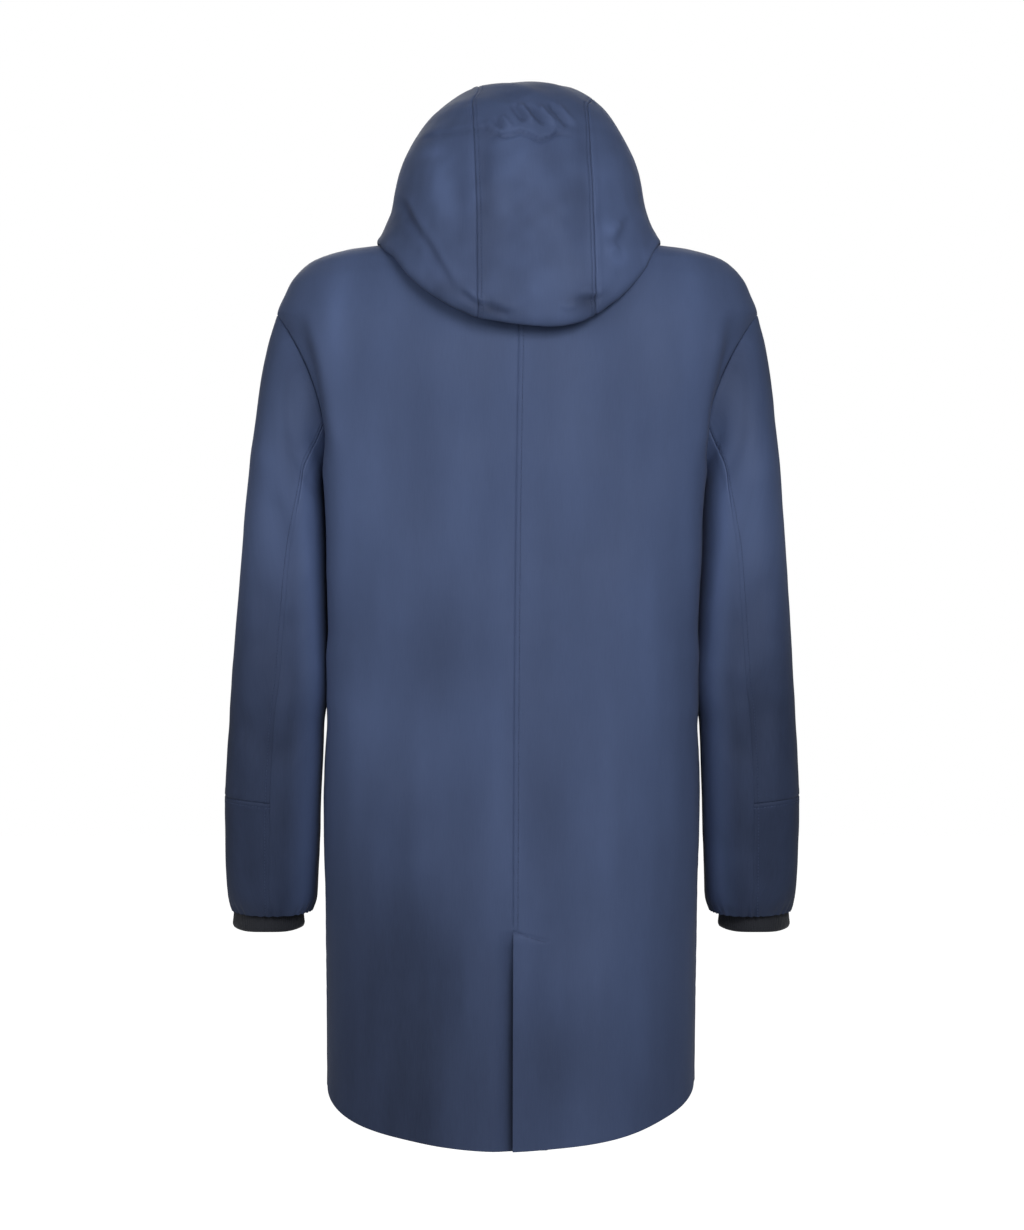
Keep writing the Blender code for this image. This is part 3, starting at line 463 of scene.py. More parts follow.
def stitches(name, paths, thread):
    """Rows of stitches along paths of points and outward normals: each is a four-sided bead,
    thick in the middle, lying half in the cloth, at even steps along its path."""
    centres, frames = [], []
    for points, normals in paths:
        points = hang(points)
        run = runs(points[None], 1)[0]
        at = np.arange(STITCH_PITCH / 2, run[-1], STITCH_PITCH)
        place = along_path(at, run, points)
        normal = along_path(at, run, normals)
        tangent = along_path(at + 0.001, run, points) - place
        keep = np.linalg.norm(tangent, axis=1) > 1e-6
        place, tangent, normal = place[keep], tangent[keep], normal[keep]
        tangent /= np.linalg.norm(tangent, axis=1, keepdims=True)
        side = np.cross(normal, tangent)
        side /= np.linalg.norm(side, axis=1, keepdims=True)
        centres.append(place + np.cross(tangent, side) * STITCH_RISE)
        frames.append(np.stack([tangent, side, np.cross(tangent, side)], axis=1))
    centres, frames = np.concatenate(centres), np.concatenate(frames)
    bead = np.array([(s * STITCH_LENGTH, r * STITCH_RADIUS * math.cos(a),
                      0.8 * r * STITCH_RADIUS * math.sin(a))
                     for s, r in STITCH_RINGS for a in np.radians([0, 90, 180, 270])])
    points = centres[:, None] + np.einsum("bk,nkc->nbc", bead, frames)
    faces = tube_faces(4, 4, [(3, 2, 1, 0), (12, 13, 14, 15)], len(centres))
    made = shaped_object(name, points.reshape(-1, 3), faces[:, ::-1], thread)
    made.data.shade_smooth()
    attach(made, "garment")


def feed(tree, made, inputs):
    """Gives a node its inputs: a link where an input is another node's socket, or a value."""
    for key, value in inputs.items():
        if isinstance(value, bpy.types.NodeSocket):
            tree.links.new(value, made.inputs[key])
        else:
            made.inputs[key].default_value = value


def node(tree, kind, inputs=None, **settings):
    """A shader node with its settings and inputs."""
    made = tree.nodes.new(kind)
    for key, value in settings.items():
        setattr(made, key, value)
    feed(tree, made, inputs or {})
    return made


def maths(tree, operation, a, b=0.0, c=0.0):
    """The result of one sum on sockets or numbers."""
    return node(tree, "ShaderNodeMath", {0: a, 1: b, 2: c}, operation=operation).outputs[0]


def effect(name, inputs, outputs):
    """An empty node group with these named inputs and outputs, and its two end nodes."""
    group = bpy.data.node_groups.new(name, "ShaderNodeTree")
    for title, kind, value in inputs:
        socket = group.interface.new_socket(title, in_out="INPUT", socket_type=kind)
        if value is not None:
            socket.default_value = value
    for title, kind in outputs:
        group.interface.new_socket(title, in_out="OUTPUT", socket_type=kind)
    return group, group.nodes.new("NodeGroupInput"), group.nodes.new("NodeGroupOutput")


def plain_weave():
    """Woven cloth: threads over and under each other, as the product of two sines along and
    across, with slubs, and a slow drift of tone. Gives its height and its tone."""
    group, start, end = effect(
        "plain weave",
        (("Vector", "NodeSocketVector", None), ("Pitch", "NodeSocketFloat", 0.0006),
         ("Slub", "NodeSocketFloat", 0.5)),
        (("Height", "NodeSocketFloat"), ("Tone", "NodeSocketFloat")))
    parts = node(group, "ShaderNodeSeparateXYZ", {0: start.outputs["Vector"]})
    turn = maths(group, "DIVIDE", math.pi, start.outputs["Pitch"])
    warp = maths(group, "SINE", maths(group, "MULTIPLY", parts.outputs[0], turn))
    weft = maths(group, "SINE", maths(group, "MULTIPLY", parts.outputs[1], turn))
    threads = maths(group, "MULTIPLY", warp, weft)
    stretched = node(group, "ShaderNodeVectorMath",
                     {0: start.outputs["Vector"], 1: (900.0, 60.0, 1.0)}, operation="MULTIPLY")
    slub = node(group, "ShaderNodeTexNoise",
                {"Vector": stretched.outputs[0], "Scale": 1.0, "Detail": 2.0})
    falling = node(group, "ShaderNodeVectorMath",
                   {0: start.outputs["Vector"], 1: (26.0, 5.0, 1.0)}, operation="MULTIPLY")
    drift = node(group, "ShaderNodeTexNoise",
                 {"Vector": falling.outputs[0], "Scale": 1.0, "Detail": 4.0})
    lumps = maths(group, "MULTIPLY", maths(group, "SUBTRACT", slub.outputs[0], 0.5),
                  start.outputs["Slub"])
    mild = maths(group, "MULTIPLY_ADD", drift.outputs[0], 0.4, 0.3)
    feed(group, end, {
        "Height": maths(group, "ADD", maths(group, "MULTIPLY", threads, 0.25), lumps),
        "Tone": maths(group, "MULTIPLY_ADD", lumps, 0.25, mild)})
    return group


def blend(tree, factor, dark, light):
    """A colour between two, by a factor."""
    made = node(tree, "ShaderNodeMix", {0: factor, 6: (*dark, 1.0), 7: (*light, 1.0)},
                data_type="RGBA")
    return made.outputs[2]


WEAVE = plain_weave()


def new_finish(name):
    """A new material, its node tree and its shader."""
    made = bpy.data.materials.new(name)
    made.use_nodes = True
    return made, made.node_tree, made.node_tree.nodes["Principled BSDF"]


TONE_AND_SHADE_GAIN = 60.0                # turns the mark of tone and painted light and shade into a share of the way dark to light
TONE_RANGE = (-0.40, 0.90)      # the sum of tone, painted light and shade, and weave that is quite dark, and quite light


def woven(name, dark, light, roughness, sheen, pitch, slub, bump, wear):
    """A woven finish on the cloth's own UV map: weave in the bump and the colour, a soft sheen,
    lighter and darker places as the cloth's mark of random tone and painted light and shade says, and
    smoother patches."""
    made, tree, shader = new_finish(name)
    where = node(tree, "ShaderNodeTexCoord")
    weave = node(tree, "ShaderNodeGroup", node_tree=WEAVE)
    feed(tree, weave, {"Vector": where.outputs["UV"], "Pitch": pitch, "Slub": slub})
    # the cloth's random tone with its painted light and shade
    tone_and_painted_shading = node(tree, "ShaderNodeAttribute", attribute_name="tone_and_painted_shading").outputs["Fac"]
    shade = maths(tree, "MULTIPLY_ADD", tone_and_painted_shading, TONE_AND_SHADE_GAIN, weave.outputs["Tone"])
    tone = node(tree, "ShaderNodeMapRange", {0: shade, 1: TONE_RANGE[0], 2: TONE_RANGE[1]})
    colour = blend(tree, tone.outputs[0], dark, light)
    patchy = node(tree, "ShaderNodeTexNoise",
                  {"Vector": where.outputs["Object"], "Scale": 14.0, "Detail": 4.0})
    rough = node(tree, "ShaderNodeMapRange",
                 {0: patchy.outputs[0], 1: 0.35, 2: 0.7, 3: roughness - wear, 4: roughness + wear})
    dent = node(tree, "ShaderNodeBump",
                {"Strength": bump, "Distance": 0.0003, "Height": weave.outputs["Height"]})
    feed(tree, shader, {
        "Base Color": colour, "Roughness": rough.outputs[0], "Normal": dent.outputs[0],
        "Sheen Weight": sheen, "Sheen Roughness": 0.45, "Specular IOR Level": 0.22})
    return made


SHELL = woven("navy shell", (0.006, 0.010, 0.025), (0.077, 0.113, 0.231), 0.70, 0.03,
              0.0006, 0.6, 0.30, 0.05)
THREAD = woven("navy thread", (0.028, 0.042, 0.092), (0.050, 0.072, 0.148), 0.60, 0.0,
               0.0003, 0.2, 0.2, 0.02)


def cut(piece, name):
    """Puts a piece of shell cloth in the garment's body and hides the solid that it stands for."""
    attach(piece, "garment")
    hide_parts(name)


def mirrored(grid):
    """The same grid on the wearer's right, with x turned to its opposite."""
    return grid * np.array([-1.0, 1.0, 1.0])


def sunk(grid):
    """The left back sinks below the vent's upper layer, fully at the vent and from its set
    height down, and fades away across the blend."""
    down = np.clip((VENT_TOP - grid[..., 2]) / (VENT_TOP - VENT_SET), 0.0, 1.0)
    near = fade(1.0 - (grid[..., 0] + SEAM_SHIFT) / VENT_BLEND)
    grid = grid.copy()
    grid[..., 1] -= VENT_SINK * down * near
    return grid


HELD_REACH = 0.016              # the cloth is held smooth this near to a sewn edge


def drape(grid, rows, seed, held, amount=1.0):
    """Height of the creases and of the cloth's own small unevenness, which die away towards
    the edges where the cloth is held."""
    hung = hang(grid)
    x, z = hung[..., 0], hung[..., 2]
    low = ramp(z, -0.10, -0.60)
    small = 0.00045 * unevenness(x, z, 0.050, seed + 5) + 0.00022 * unevenness(x, z, 0.017, seed + 6)
    folds = 0.0010 * low * unevenness(x, 0.25 * z, 0.045, seed + 7)
    return (creases(hung, rows, seed) + (small + folds) * amount) * fade(held / HELD_REACH)


MOST_FOLD_SHADING = 0.0010            # the strongest painted highlight on a ridge, and shade in a trough, that a crease makes


def painted_fold_shading(height):
    """Painted highlight on the creases' ridges and painted shade in their troughs: a share of the
    creases' height, which levels off as a hyperbolic tangent."""
    return MOST_FOLD_SHADING * np.tanh(0.4 * height / MOST_FOLD_SHADING)


BODY_INSIDE = (0.0, 0.0, -0.4)
BODY_CUTS = {                   # flat size of the piece, and its area, in metres
    "back_left": ((0.318, 0.925), 0.247), "back_right": ((0.282, 0.925), 0.237),
    "front_left": ((0.272, 0.925), 0.224), "front_right": ((0.272, 0.925), 0.223),
}
BACK_SHADING_PATCHES = (                  # middle, reach, and amount: painted light above nought, painted shade below
    ((0.180, -0.085), (0.012, 0.050), 0.0055),
    ((0.153, -0.260), (0.030, 0.075), 0.0028),
    ((0.064, -0.400), (0.034, 0.070), -0.0036),
    ((0.149, -0.470), (0.030, 0.045), 0.0032),
    ((0.014, -0.530), (0.008, 0.070), 0.0022),
    ((0.085, -0.560), (0.040, 0.040), -0.0022),
    ((-0.136, -0.390), (0.020, 0.110), 0.0020),
    ((-0.030, -0.560), (0.020, 0.060), -0.0022),
    ((-0.050, -0.800), (0.040, 0.050), -0.0034),
    ((-0.130, -0.740), (0.024, 0.080), 0.0020),
    ((-0.010, -0.700), (0.010, 0.060), 0.0018),
)


def back_painted_shading(x, z):
    """Painted light and shade over the whole back: painted shade by smooth steps towards the hem, most
    of all on the wearer's left, with a bell-shaped strip of painted highlight beside each side seam."""
    low = -0.0022 * ramp(z, -0.58, -0.88)
    sag = np.exp(-((x - 0.120) / 0.090) ** 2)
    low = low - 0.0074 * sag * ramp(z, -0.46, -0.74)
    edge = np.exp(-((np.abs(x) - 0.168) / 0.014) ** 2)
    return low + 0.0024 * edge * ramp(z, -0.42, -0.32)


body_paths = []
for side_name, side, mark in (("back", 1, 11), ("front", -1, 23)):
    rows = BACK_ROWS if side > 0 else FRONT_ROWS
    folds = BACK_CREASES if side > 0 else FRONT_CREASES
    for hand, sign in (("left", 1), ("right", -1)):
        name = f"{side_name}_{hand}"
        edge_x = -sign * SEAM_SHIFT if side > 0 else ZIP_SLOT
        grid = respace(half_body(side, rows, edge_x), BODY_MIDDLE)
        grid = grid if sign > 0 else mirrored(grid)
        x, z = grid[..., 0], grid[..., 2]
        normal = outward(grid, BODY_INSIDE)
        centre, up = runs(grid, 1), runs(grid, 0)
        outer = centre[:, -1:] - centre
        height = drape(grid, folds, mark, np.minimum(outer, up[-1:] - up))
        # painted highlight on the creases' ridges and painted shade in their troughs
        tone_and_painted_shading = painted_fold_shading(height)
        sewn = 1.0
        if side > 0:
            sewn = ramp(z, VENT_TOP, VENT_TOP + 0.006)
        if name == "back_left":
            # the lower layer is in the upper one's shade beside the vent
            deep = 0.009 * ramp(z, VENT_TOP, VENT_TOP - 0.060)
            tone_and_painted_shading = tone_and_painted_shading - deep * np.exp(-(centre / 0.0060) ** 2)
        if name == "back_right":
            # the vent's upper layer stands up at its edge and is tacked down at its top
            open_edge = ramp(z, VENT_TOP + 0.002, VENT_TOP - 0.012)
            height = height + VENT_LIFT * open_edge * np.exp(-centre / 0.014)
            below = TACK_TOP - TACK_FALL * centre / TACK_WIDE - z
            tacked = ramp(centre, 0.034, 0.026)
            dint = -0.0015 * np.exp(-((below + 0.0006) / 0.0013) ** 2)
            swell = 0.0004 * ramp(below, 0.0, 0.003) * ramp(below, 0.018, 0.006)
            height = height + tacked * (dint + swell)
        tone_and_painted_shading = tone_and_painted_shading + 0.0006 * unevenness(x, 0.4 * z, 0.040, mark + 30)
        if side > 0:
            # painted shade towards the hem and on the lower left, painted highlights by the side
            # seams, and patches of painted light and shade
            tone_and_painted_shading = tone_and_painted_shading + back_painted_shading(x, z) + shading_patches(grid, BACK_SHADING_PATCHES)
        height = height + sewn * seam_relief(centre, grid, sign * side < 0)
        height += seam_relief(outer, grid, False)
        height += 0.0003 * ramp(up, 0.018, 0.0)
        shaped = grid + normal * height[..., None]
        grids = [shaped]
        if name == "back_left":
            # the lower layer carries on under the upper one, all of it sunk
            lap_rows = up[:, 0] < np.interp(VENT_SET, z[:, 0], up[:, 0])
            heights = z[lap_rows, :1]
            across_lap = np.linspace(-VENT_LAP, -SEAM_SHIFT, 12)[None, :]
            angle = np.arctan2(grid[lap_rows, :1, 1], across_lap)
            lap = sunk(body(angle, heights + 0.0 * angle))
            shaped = sunk(shaped)
            lap[:, -1] = shaped[lap_rows, 0]
            grids = [shaped, lap]
        piece = cloth_mesh(name + "_cloth", grids, BODY_INSIDE, SHELL, tone_and_painted_shading=tone_and_painted_shading)
        flat, area = BODY_CUTS[name]
        cut(piece, name)
        if name != "back_left":
            seam = z[:, 0] > (VENT_TOP if side > 0 else -np.inf)
            body_paths.append((shaped[seam, STITCH_LINE], normal[seam, STITCH_LINE]))
        if name == "back_right":
            # the vent is closed off at its top by a short slanting row of stitches
            slant = np.linspace(0.0, 1.0, 30)
            level = np.interp(TACK_TOP - TACK_FALL * slant, z[:, 0], np.arange(len(z)))
            column = np.interp(slant * TACK_WIDE, centre[int(level[0])], np.arange(z.shape[1]))
            body_paths.append((between(shaped, level, column), between(normal, level, column)))
stitches("body_stitching", body_paths, THREAD)


# ------------------------------------------------------------------ the sleeves
# Each sleeve has an outer piece from the dropped shoulder to the elbow, a forearm piece below a
# seam at the elbow, and an inner piece from the underarm to the wrist, all of the shell cloth.
SLEEVE_COLUMNS = (
    "outer_x", "outer_z", "inner_x", "inner_z", "depth", "middle", "wrap", "tilt", "seam")
SLEEVE = (
    (ARMHOLE_OUT, ARMHOLE_TOP, ARMHOLE_IN, UNDERARM, ARMHOLE_DEPTH, 0.000, ARMHOLE_WRAP, 0.0, 110),
    (0.2440, -0.084, 0.1862, -0.243, 0.0685, 0.000, 0.0062, 0.0000, 118),
    (0.2490, -0.104, 0.1864, -0.252, 0.0705, 0.000, 0.0040, 0.0000, 115),
    (0.2542, -0.135, 0.1858, -0.265, 0.0720, 0.002, 0.0020, 0.0000, 111),
    (0.2585, -0.175, 0.1857, -0.282, 0.0719, 0.0043, 0.0010, 0.0000, 108),
    (0.2640, -0.225, 0.1853, -0.306, 0.0710, 0.006, 0.0000, 0.0000, 104),
    (0.2688, -0.280, 0.1848, -0.336, 0.0690, 0.008, 0.0000, 0.0000, 99),
    (0.2745, -0.360, 0.1836, -0.385, 0.0655, 0.008, 0.0000, 0.0000, 95),
    (0.2790, -0.430, 0.1832, -0.438, 0.0620, 0.005, 0.0000, 0.0005, 92),
    (0.2822, -0.473, 0.1872, -0.477, 0.0600, 0.002, 0.0000, 0.0010, 90),
    (0.2868, -0.549, 0.1912, -0.558, 0.0572, -0.006, 0.0000, 0.0030, 90),
    (0.2872, -0.595, 0.1923, -0.598, 0.0555, -0.013, 0.0000, 0.0035, 90),
    (0.2865, -0.631, 0.1938, -0.631, 0.0540, -0.019, 0.0000, 0.0040, 90),
    (0.2850, -0.650, 0.1948, -0.650, 0.0520, -0.0225, 0.0000, 0.0042, 90),
    (0.2832, -0.659, 0.1970, -0.659, 0.0495, -0.0240, 0.0000, 0.0042, 90),
    (0.2812, -0.666, 0.2000, -0.666, 0.0460, -0.0250, 0.0000, 0.0042, 90),
)
SLEEVE_FULL = 0.8               # added to the ellipse's power of 2
ELBOW = 10                      # number of its section in the table
WRIST = len(SLEEVE) - 1
SLEEVE_AT = table(SLEEVE_COLUMNS, SLEEVE)
SLEEVE_NUMBERS = np.arange(len(SLEEVE), dtype=float)
# Creases of the two sleeves as seen from the back; the front has the same ones turned over.
LEFT_ARM_CREASES = (
    (((0.236, -0.175), (0.215, -0.215), (0.196, -0.262)), 0.008, -0.0022),
    (((0.256, -0.190), (0.236, -0.250), (0.205, -0.300)), 0.014, 0.0026),
    (((0.252, -0.250), (0.226, -0.300), (0.200, -0.330)), 0.012, -0.0022),
    (((0.266, -0.330), (0.240, -0.370), (0.206, -0.390)), 0.016, -0.0020),
    (((0.272, -0.400), (0.250, -0.440), (0.212, -0.470)), 0.020, 0.0026),
    (((0.282, -0.460), (0.252, -0.500), (0.218, -0.520)), 0.016, -0.0024),
    (((0.225, -0.490), (0.230, -0.570), (0.228, -0.650)), 0.014, 0.0016),
    (((0.270, -0.555), (0.264, -0.600), (0.262, -0.655)), 0.010, -0.0014),
    (((0.248, -0.570), (0.246, -0.620), (0.244, -0.660)), 0.009, 0.0013),
    (((0.212, -0.600), (0.216, -0.630), (0.218, -0.662)), 0.008, -0.0012),
    (((0.196, -0.400), (0.198, -0.440), (0.200, -0.480)), 0.014, 0.0014),
)
RIGHT_ARM_CREASES = (
    (((-0.229, -0.170), (-0.208, -0.215), (-0.190, -0.260)), 0.008, -0.0022),
    (((-0.246, -0.200), (-0.226, -0.260), (-0.196, -0.320)), 0.016, 0.0026),
    (((-0.255, -0.320), (-0.232, -0.360), (-0.200, -0.400)), 0.016, -0.0020),
    (((-0.262, -0.390), (-0.238, -0.420), (-0.206, -0.440)), 0.018, 0.0024),
    (((-0.270, -0.450), (-0.240, -0.480), (-0.210, -0.520)), 0.016, -0.0024),
    (((-0.218, -0.500), (-0.224, -0.580), (-0.222, -0.650)), 0.014, 0.0016),
    (((-0.256, -0.555), (-0.252, -0.610), (-0.250, -0.655)), 0.010, -0.0014),
    (((-0.236, -0.600), (-0.234, -0.640), (-0.233, -0.660)), 0.008, 0.0012),
    (((-0.202, -0.580), (-0.206, -0.620), (-0.207, -0.660)), 0.009, -0.0012),
    (((-0.188, -0.400), (-0.190, -0.440), (-0.192, -0.480)), 0.014, 0.0014),
)


def sleeve(turn, section):
    """A point of the left sleeve at an angle round the arm (0 outer, 90 degrees back) and a
    section number: an ellipse through the section's outer and inner points, fuller between the
    seams, its back and front wrapped in a little and its back hanging lower."""
    at = {name: smooth(section, SLEEVE_NUMBERS, SLEEVE_AT[name]) for name in SLEEVE_COLUMNS[:-1]}
    c, s = np.cos(turn), np.sin(turn)
    power = 2.0 + SLEEVE_FULL * ramp(section, 0.5, 5.5) * ramp(section, 15.0, 11.0)
    swell = (np.abs(c) ** power + np.abs(s) ** power) ** (-1.0 / power)
    c, s = c * swell, s * swell
    x = (at["outer_x"] + at["inner_x"]) / 2 + (at["outer_x"] - at["inner_x"]) / 2 * c
    z = (at["outer_z"] + at["inner_z"]) / 2 + (at["outer_z"] - at["inner_z"]) / 2 * c
    y = at["middle"] + at["depth"] * s
    return np.stack([x - at["wrap"] * s ** 2, y, z - at["tilt"] * s], axis=-1)


SLEEVE_TRACE = 900              # places at which the length of the arm is measured
SLEEVE_ROUND = 240              # places at which a row is worked out before it is spaced


def sleeve_piece(first, last, inner, middle_rows, middle_columns):
    """A grid of the sleeve between two sections, round the outside or the inside of the arm
    from seam to seam. Rows lie at set distances along the arm."""
    fine = np.linspace(first, last, SLEEVE_TRACE)
    spine = sleeve(np.full_like(fine, math.pi if inner else 0.0), fine)
    run = runs(spine[None], 1)[0]
    section = np.interp(places(run[-1], middle_rows), run, fine)[:, None]
    seam = np.radians(smooth(section, SLEEVE_NUMBERS, SLEEVE_AT["seam"]))
    share = np.linspace(0.0, 1.0, SLEEVE_ROUND)[None, :]
    turn = seam + (2 * math.pi - 2 * seam) * share if inner else seam * (2.0 * share - 1.0)
    return respace(sleeve(turn, section + 0.0 * turn), middle_columns)


SLEEVE_PIECES = (               # name, sections, inner, rows, columns, flat size, area
    ("sleeve_top", 0, ELBOW, False, 130, 46, (0.216, 0.500), 0.093),
    ("forearm", ELBOW, WRIST, False, 36, 46, (0.170, 0.125), 0.020),
    ("sleeve_under", 0, WRIST, True, 130, 44, (0.181, 0.500), 0.079),
)
ARM_MIDDLE = (0.24, -0.024)     # of the left wrist, across and from front to back
WRIST_FOLDS = 34


def sleeve_painted_shading(grid, first):
    """How much lighter or darker a sleeve is painted for its light and shade: painted shade by a
    smooth step down to the elbow, a band of painted shade and then one of painted light below the
    shoulder, and painted light at the back of its inner side, next to the body, to lift the shade
    there."""
    x, y, z = grid[..., 0], grid[..., 1], grid[..., 2]
    tone_and_painted_shading = -0.0096 * ramp(z, -0.25, -0.52)
    if first == 0:
        tone_and_painted_shading = tone_and_painted_shading - 0.0030 * np.exp(-((z + 0.125) / 0.055) ** 2)
        tone_and_painted_shading = tone_and_painted_shading + 0.0016 * np.exp(-((z + 0.290) / 0.055) ** 2)
    reach = np.interp(-z, -SLEEVE_AT["inner_z"], SLEEVE_AT["inner_x"])
    near = 1.0 - fade((np.abs(x) - reach) / 0.034)
    near = near * ramp(y, -0.01, 0.02) * ramp(z, -0.17, -0.26)
    return tone_and_painted_shading + 0.0160 * near


sleeve_paths = []
for hand, sign, rows in (("left", 1, LEFT_ARM_CREASES), ("right", -1, RIGHT_ARM_CREASES)):
    inside = (sign * 0.23, 0.0, -0.36)
    for name, first, last, inner, middle_rows, middle_columns, flat, area in SLEEVE_PIECES:
        grid = sleeve_piece(first, last, inner, middle_rows, middle_columns)
        grid = grid if sign > 0 else mirrored(grid)
        x, y, z = grid[..., 0], grid[..., 1], grid[..., 2]
        normal = outward(grid, inside)
        across, along = runs(grid, 1), runs(grid, 0)
        end = along[-1:] - along
        height = drape(grid, rows, 60 + sign, along if first == 0 else along + 1.0, 0.8)
        # painted light and shade: on the creases, darker down the arm, paler next to the body
        tone_and_painted_shading = painted_fold_shading(height) + sleeve_painted_shading(grid, first)
        tone_and_painted_shading += 0.0007 * unevenness(x - sign * y, z, 0.040, 213)
        soft = 0.20 + 0.80 * ramp(z, -0.285, -0.235)
        height = height + seam_relief(across, grid, sign < 0 and not inner, soft)
        height += seam_relief(across[:, -1:] - across, grid, sign > 0 and not inner, soft)
        height += seam_relief(along, grid, first == ELBOW)
        if last == ELBOW:
            height += seam_relief(end, grid, False)
        else:
            # the elastic gathers the sleeve's end into small folds
            around = np.arctan2(y - ARM_MIDDLE[1], x - sign * ARM_MIDDLE[0])
            gather = np.sin(WRIST_FOLDS * around + 2.0 * unevenness(x, y, 0.02, 66))
            height += 0.0007 * gather * np.exp(-(end / 0.014) ** 2)
        shaped = grid + normal * height[..., None]
        piece = cloth_mesh(f"{name}_{hand}_cloth", [shaped], inside, SHELL, tone_and_painted_shading=tone_and_painted_shading)
        cut(piece, f"{name}_{hand}")
        if not inner:
            for column in (STITCH_LINE, -1 - STITCH_LINE):
                sleeve_paths.append((shaped[:, column], normal[:, column]))
        if first == ELBOW:
            sleeve_paths.append((shaped[STITCH_LINE], normal[STITCH_LINE]))
stitches("sleeve_stitching", sleeve_paths, THREAD)


# ------------------------------------------------------------------ the cuffs
# A band of black elastic at each wrist, folded double and sewn inside the sleeve's end. Its
# rubber threads run round it and draw it into fine ribs.
CUFF = (                        # height, half width and half depth of three sections
    (-0.6510, 0.0342, 0.0405), (-0.6690, 0.0350, 0.0415), (-0.6820, 0.0364, 0.0428))
CUFF_MIDDLE = (0.2440, -0.0255)
CUFF_TILT = 0.0042              # its back hangs lower
CUFF_RIBS = 96
CUFF_ROUND = 385                # columns, four to a rib and one to close the ring
CUFF_ROWS = 16
CUFF_WALL = 0.0018
ELASTIC = woven("black elastic", (0.004, 0.005, 0.008), (0.021, 0.023, 0.030), 0.80, 0.20,
                0.0008, 0.8, 0.6, 0.04)


def cuff(turn, drop):
    """A point of the left cuff at an angle round it and a share of the way down: an ellipse
    that widens downwards, with ribs along it and a rounded lower fold."""
    height, half_width, deep = [smooth(2.0 * drop, np.arange(3.0), np.array(column))
                                for column in zip(*CUFF)]
    rib = 0.00022 * np.cos(CUFF_RIBS * turn) * ramp(drop, 1.0, 0.88)
    fold = -0.0012 * ramp(drop, 0.9, 1.0)
    x = CUFF_MIDDLE[0] + (half_width + rib + fold) * np.cos(turn)
    y = CUFF_MIDDLE[1] + (deep + rib + fold) * np.sin(turn)
    z = height - CUFF_TILT * np.sin(turn) + 0.0003 * np.sin(5 * turn) * drop
    return np.stack([x, y, z], axis=-1)


for hand, sign in (("left", 1), ("right", -1)):
    turn = np.radians(np.linspace(0.0, 360.0, CUFF_ROUND))[None, :]
    grid = cuff(turn, np.linspace(0.0, 1.0, CUFF_ROWS)[:, None] + 0.0 * turn)
    grid[:, -1] = grid[:, 0]
    grid = grid if sign > 0 else mirrored(grid)
    band = cloth_mesh(f"cuff_{hand}_elastic", [grid], (sign * CUFF_MIDDLE[0], CUFF_MIDDLE[1], -0.67),
                      ELASTIC, wall=CUFF_WALL)
    weld = band.modifiers.new("round", "WELD")
    weld.merge_threshold = SAME_PLACE
    band.modifiers.move(1, 0)
    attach(band, "garment")
    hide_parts(f"cuff_{hand}")


# ------------------------------------------------------------------ the hood
# A strip from forehead to neck and a side piece on each side, of the shell cloth, with a row of
# stitches along both of the strip's seams. It is soft: it folds over on itself behind the neck,
# and a drawcord channel across the back of the crown gathers it.
STRIP_HALF = 0.0575             # half the width of the strip
HOOD_TURN = math.radians(7.5)   # its back is turned this far to the wearer's right
HOOD_FOLD = (3.0, 1.7)          # powers by which a level falls from its side to its back
HOOD_CLEAR = (0.0012, 0.0045)   # the hood above the shoulders, turned under and outside
NECK_LIFT = 0.0008              # its neck edge above the body's
CROWN_SHIFT = 0.36              # in levels of the table below
FOLD_TILT = 0.0075              # the fold behind the neck rises to the wearer's left
HOOD_SOFT = 0.0015              # how gently the hood comes down on the shoulders
FOREHEAD = 4.2                  # level at which the face opening starts
CHIN = 8.0                      # and ends
HOOD_COLUMNS = (
    "side", "side_z", "back", "back_z", "front", "front_z", "opening", "squareness", "lean")
HOOD = (
    (0.0000, 0.1615, 0.0000, 0.1615, 0.0000, 0.1615, 0.0575, 2.00, 0.0050),
    (0.0270, 0.1597, 0.0330, 0.1592, 0.0330, 0.1605, 0.0575, 2.00, 0.0050),
    (0.0545, 0.1530, 0.0620, 0.1520, 0.0640, 0.1560, 0.0575, 2.00, 0.0045),
    (0.0815, 0.1345, 0.0910, 0.1350, 0.1000, 0.1450, 0.0575, 2.05, 0.0025),
    (0.1005, 0.1105, 0.1125, 0.1080, 0.1240, 0.1230, 0.0575, 2.10, 0.0010),
    (0.1145, 0.0850, 0.1280, 0.0740, 0.1300, 0.0950, 0.0700, 2.15, 0.0000),
    (0.1215, 0.0620, 0.1380, 0.0380, 0.1270, 0.0650, 0.0760, 2.25, 0.0000),
    (0.1255, 0.0400, 0.1445, -0.0020, 0.1200, 0.0350, 0.0680, 2.40, 0.0000),
    (0.1305, 0.0230, 0.1490, -0.0370, 0.1130, 0.0080, ZIP_SLOT, 2.55, 0.0000),
    (0.1370, 0.0090, 0.1515, -0.0680, 0.1060, -0.0080, ZIP_SLOT, 2.65, 0.0000),
    (0.1412, 0.0015, 0.1500, -0.0860, 0.1000, -0.0200, ZIP_SLOT, 2.70, 0.0000),
    (0.1380, -0.0030, 0.1430, -0.0915, 0.0960, -0.0290, ZIP_SLOT, 2.65, 0.0000),
    (0.1180, 0.0010, 0.1350, -0.0720, 0.0920, -0.0360, ZIP_SLOT, 2.50, 0.0000),
    (0.0980, 0.0115, 0.1120, -0.0110, 0.0880, -0.0440, ZIP_SLOT, 2.30, 0.0000),
    (0.0850, 0.0100, 0.0750, 0.0100, 0.0850, -0.0500, ZIP_SLOT, 2.00, 0.0000),
)
HOOD_NECK = float(len(HOOD) - 1)    # level of the neck seam
HOOD_AT = table(HOOD_COLUMNS, HOOD)
HOOD_LEVELS = np.arange(len(HOOD), dtype=float)
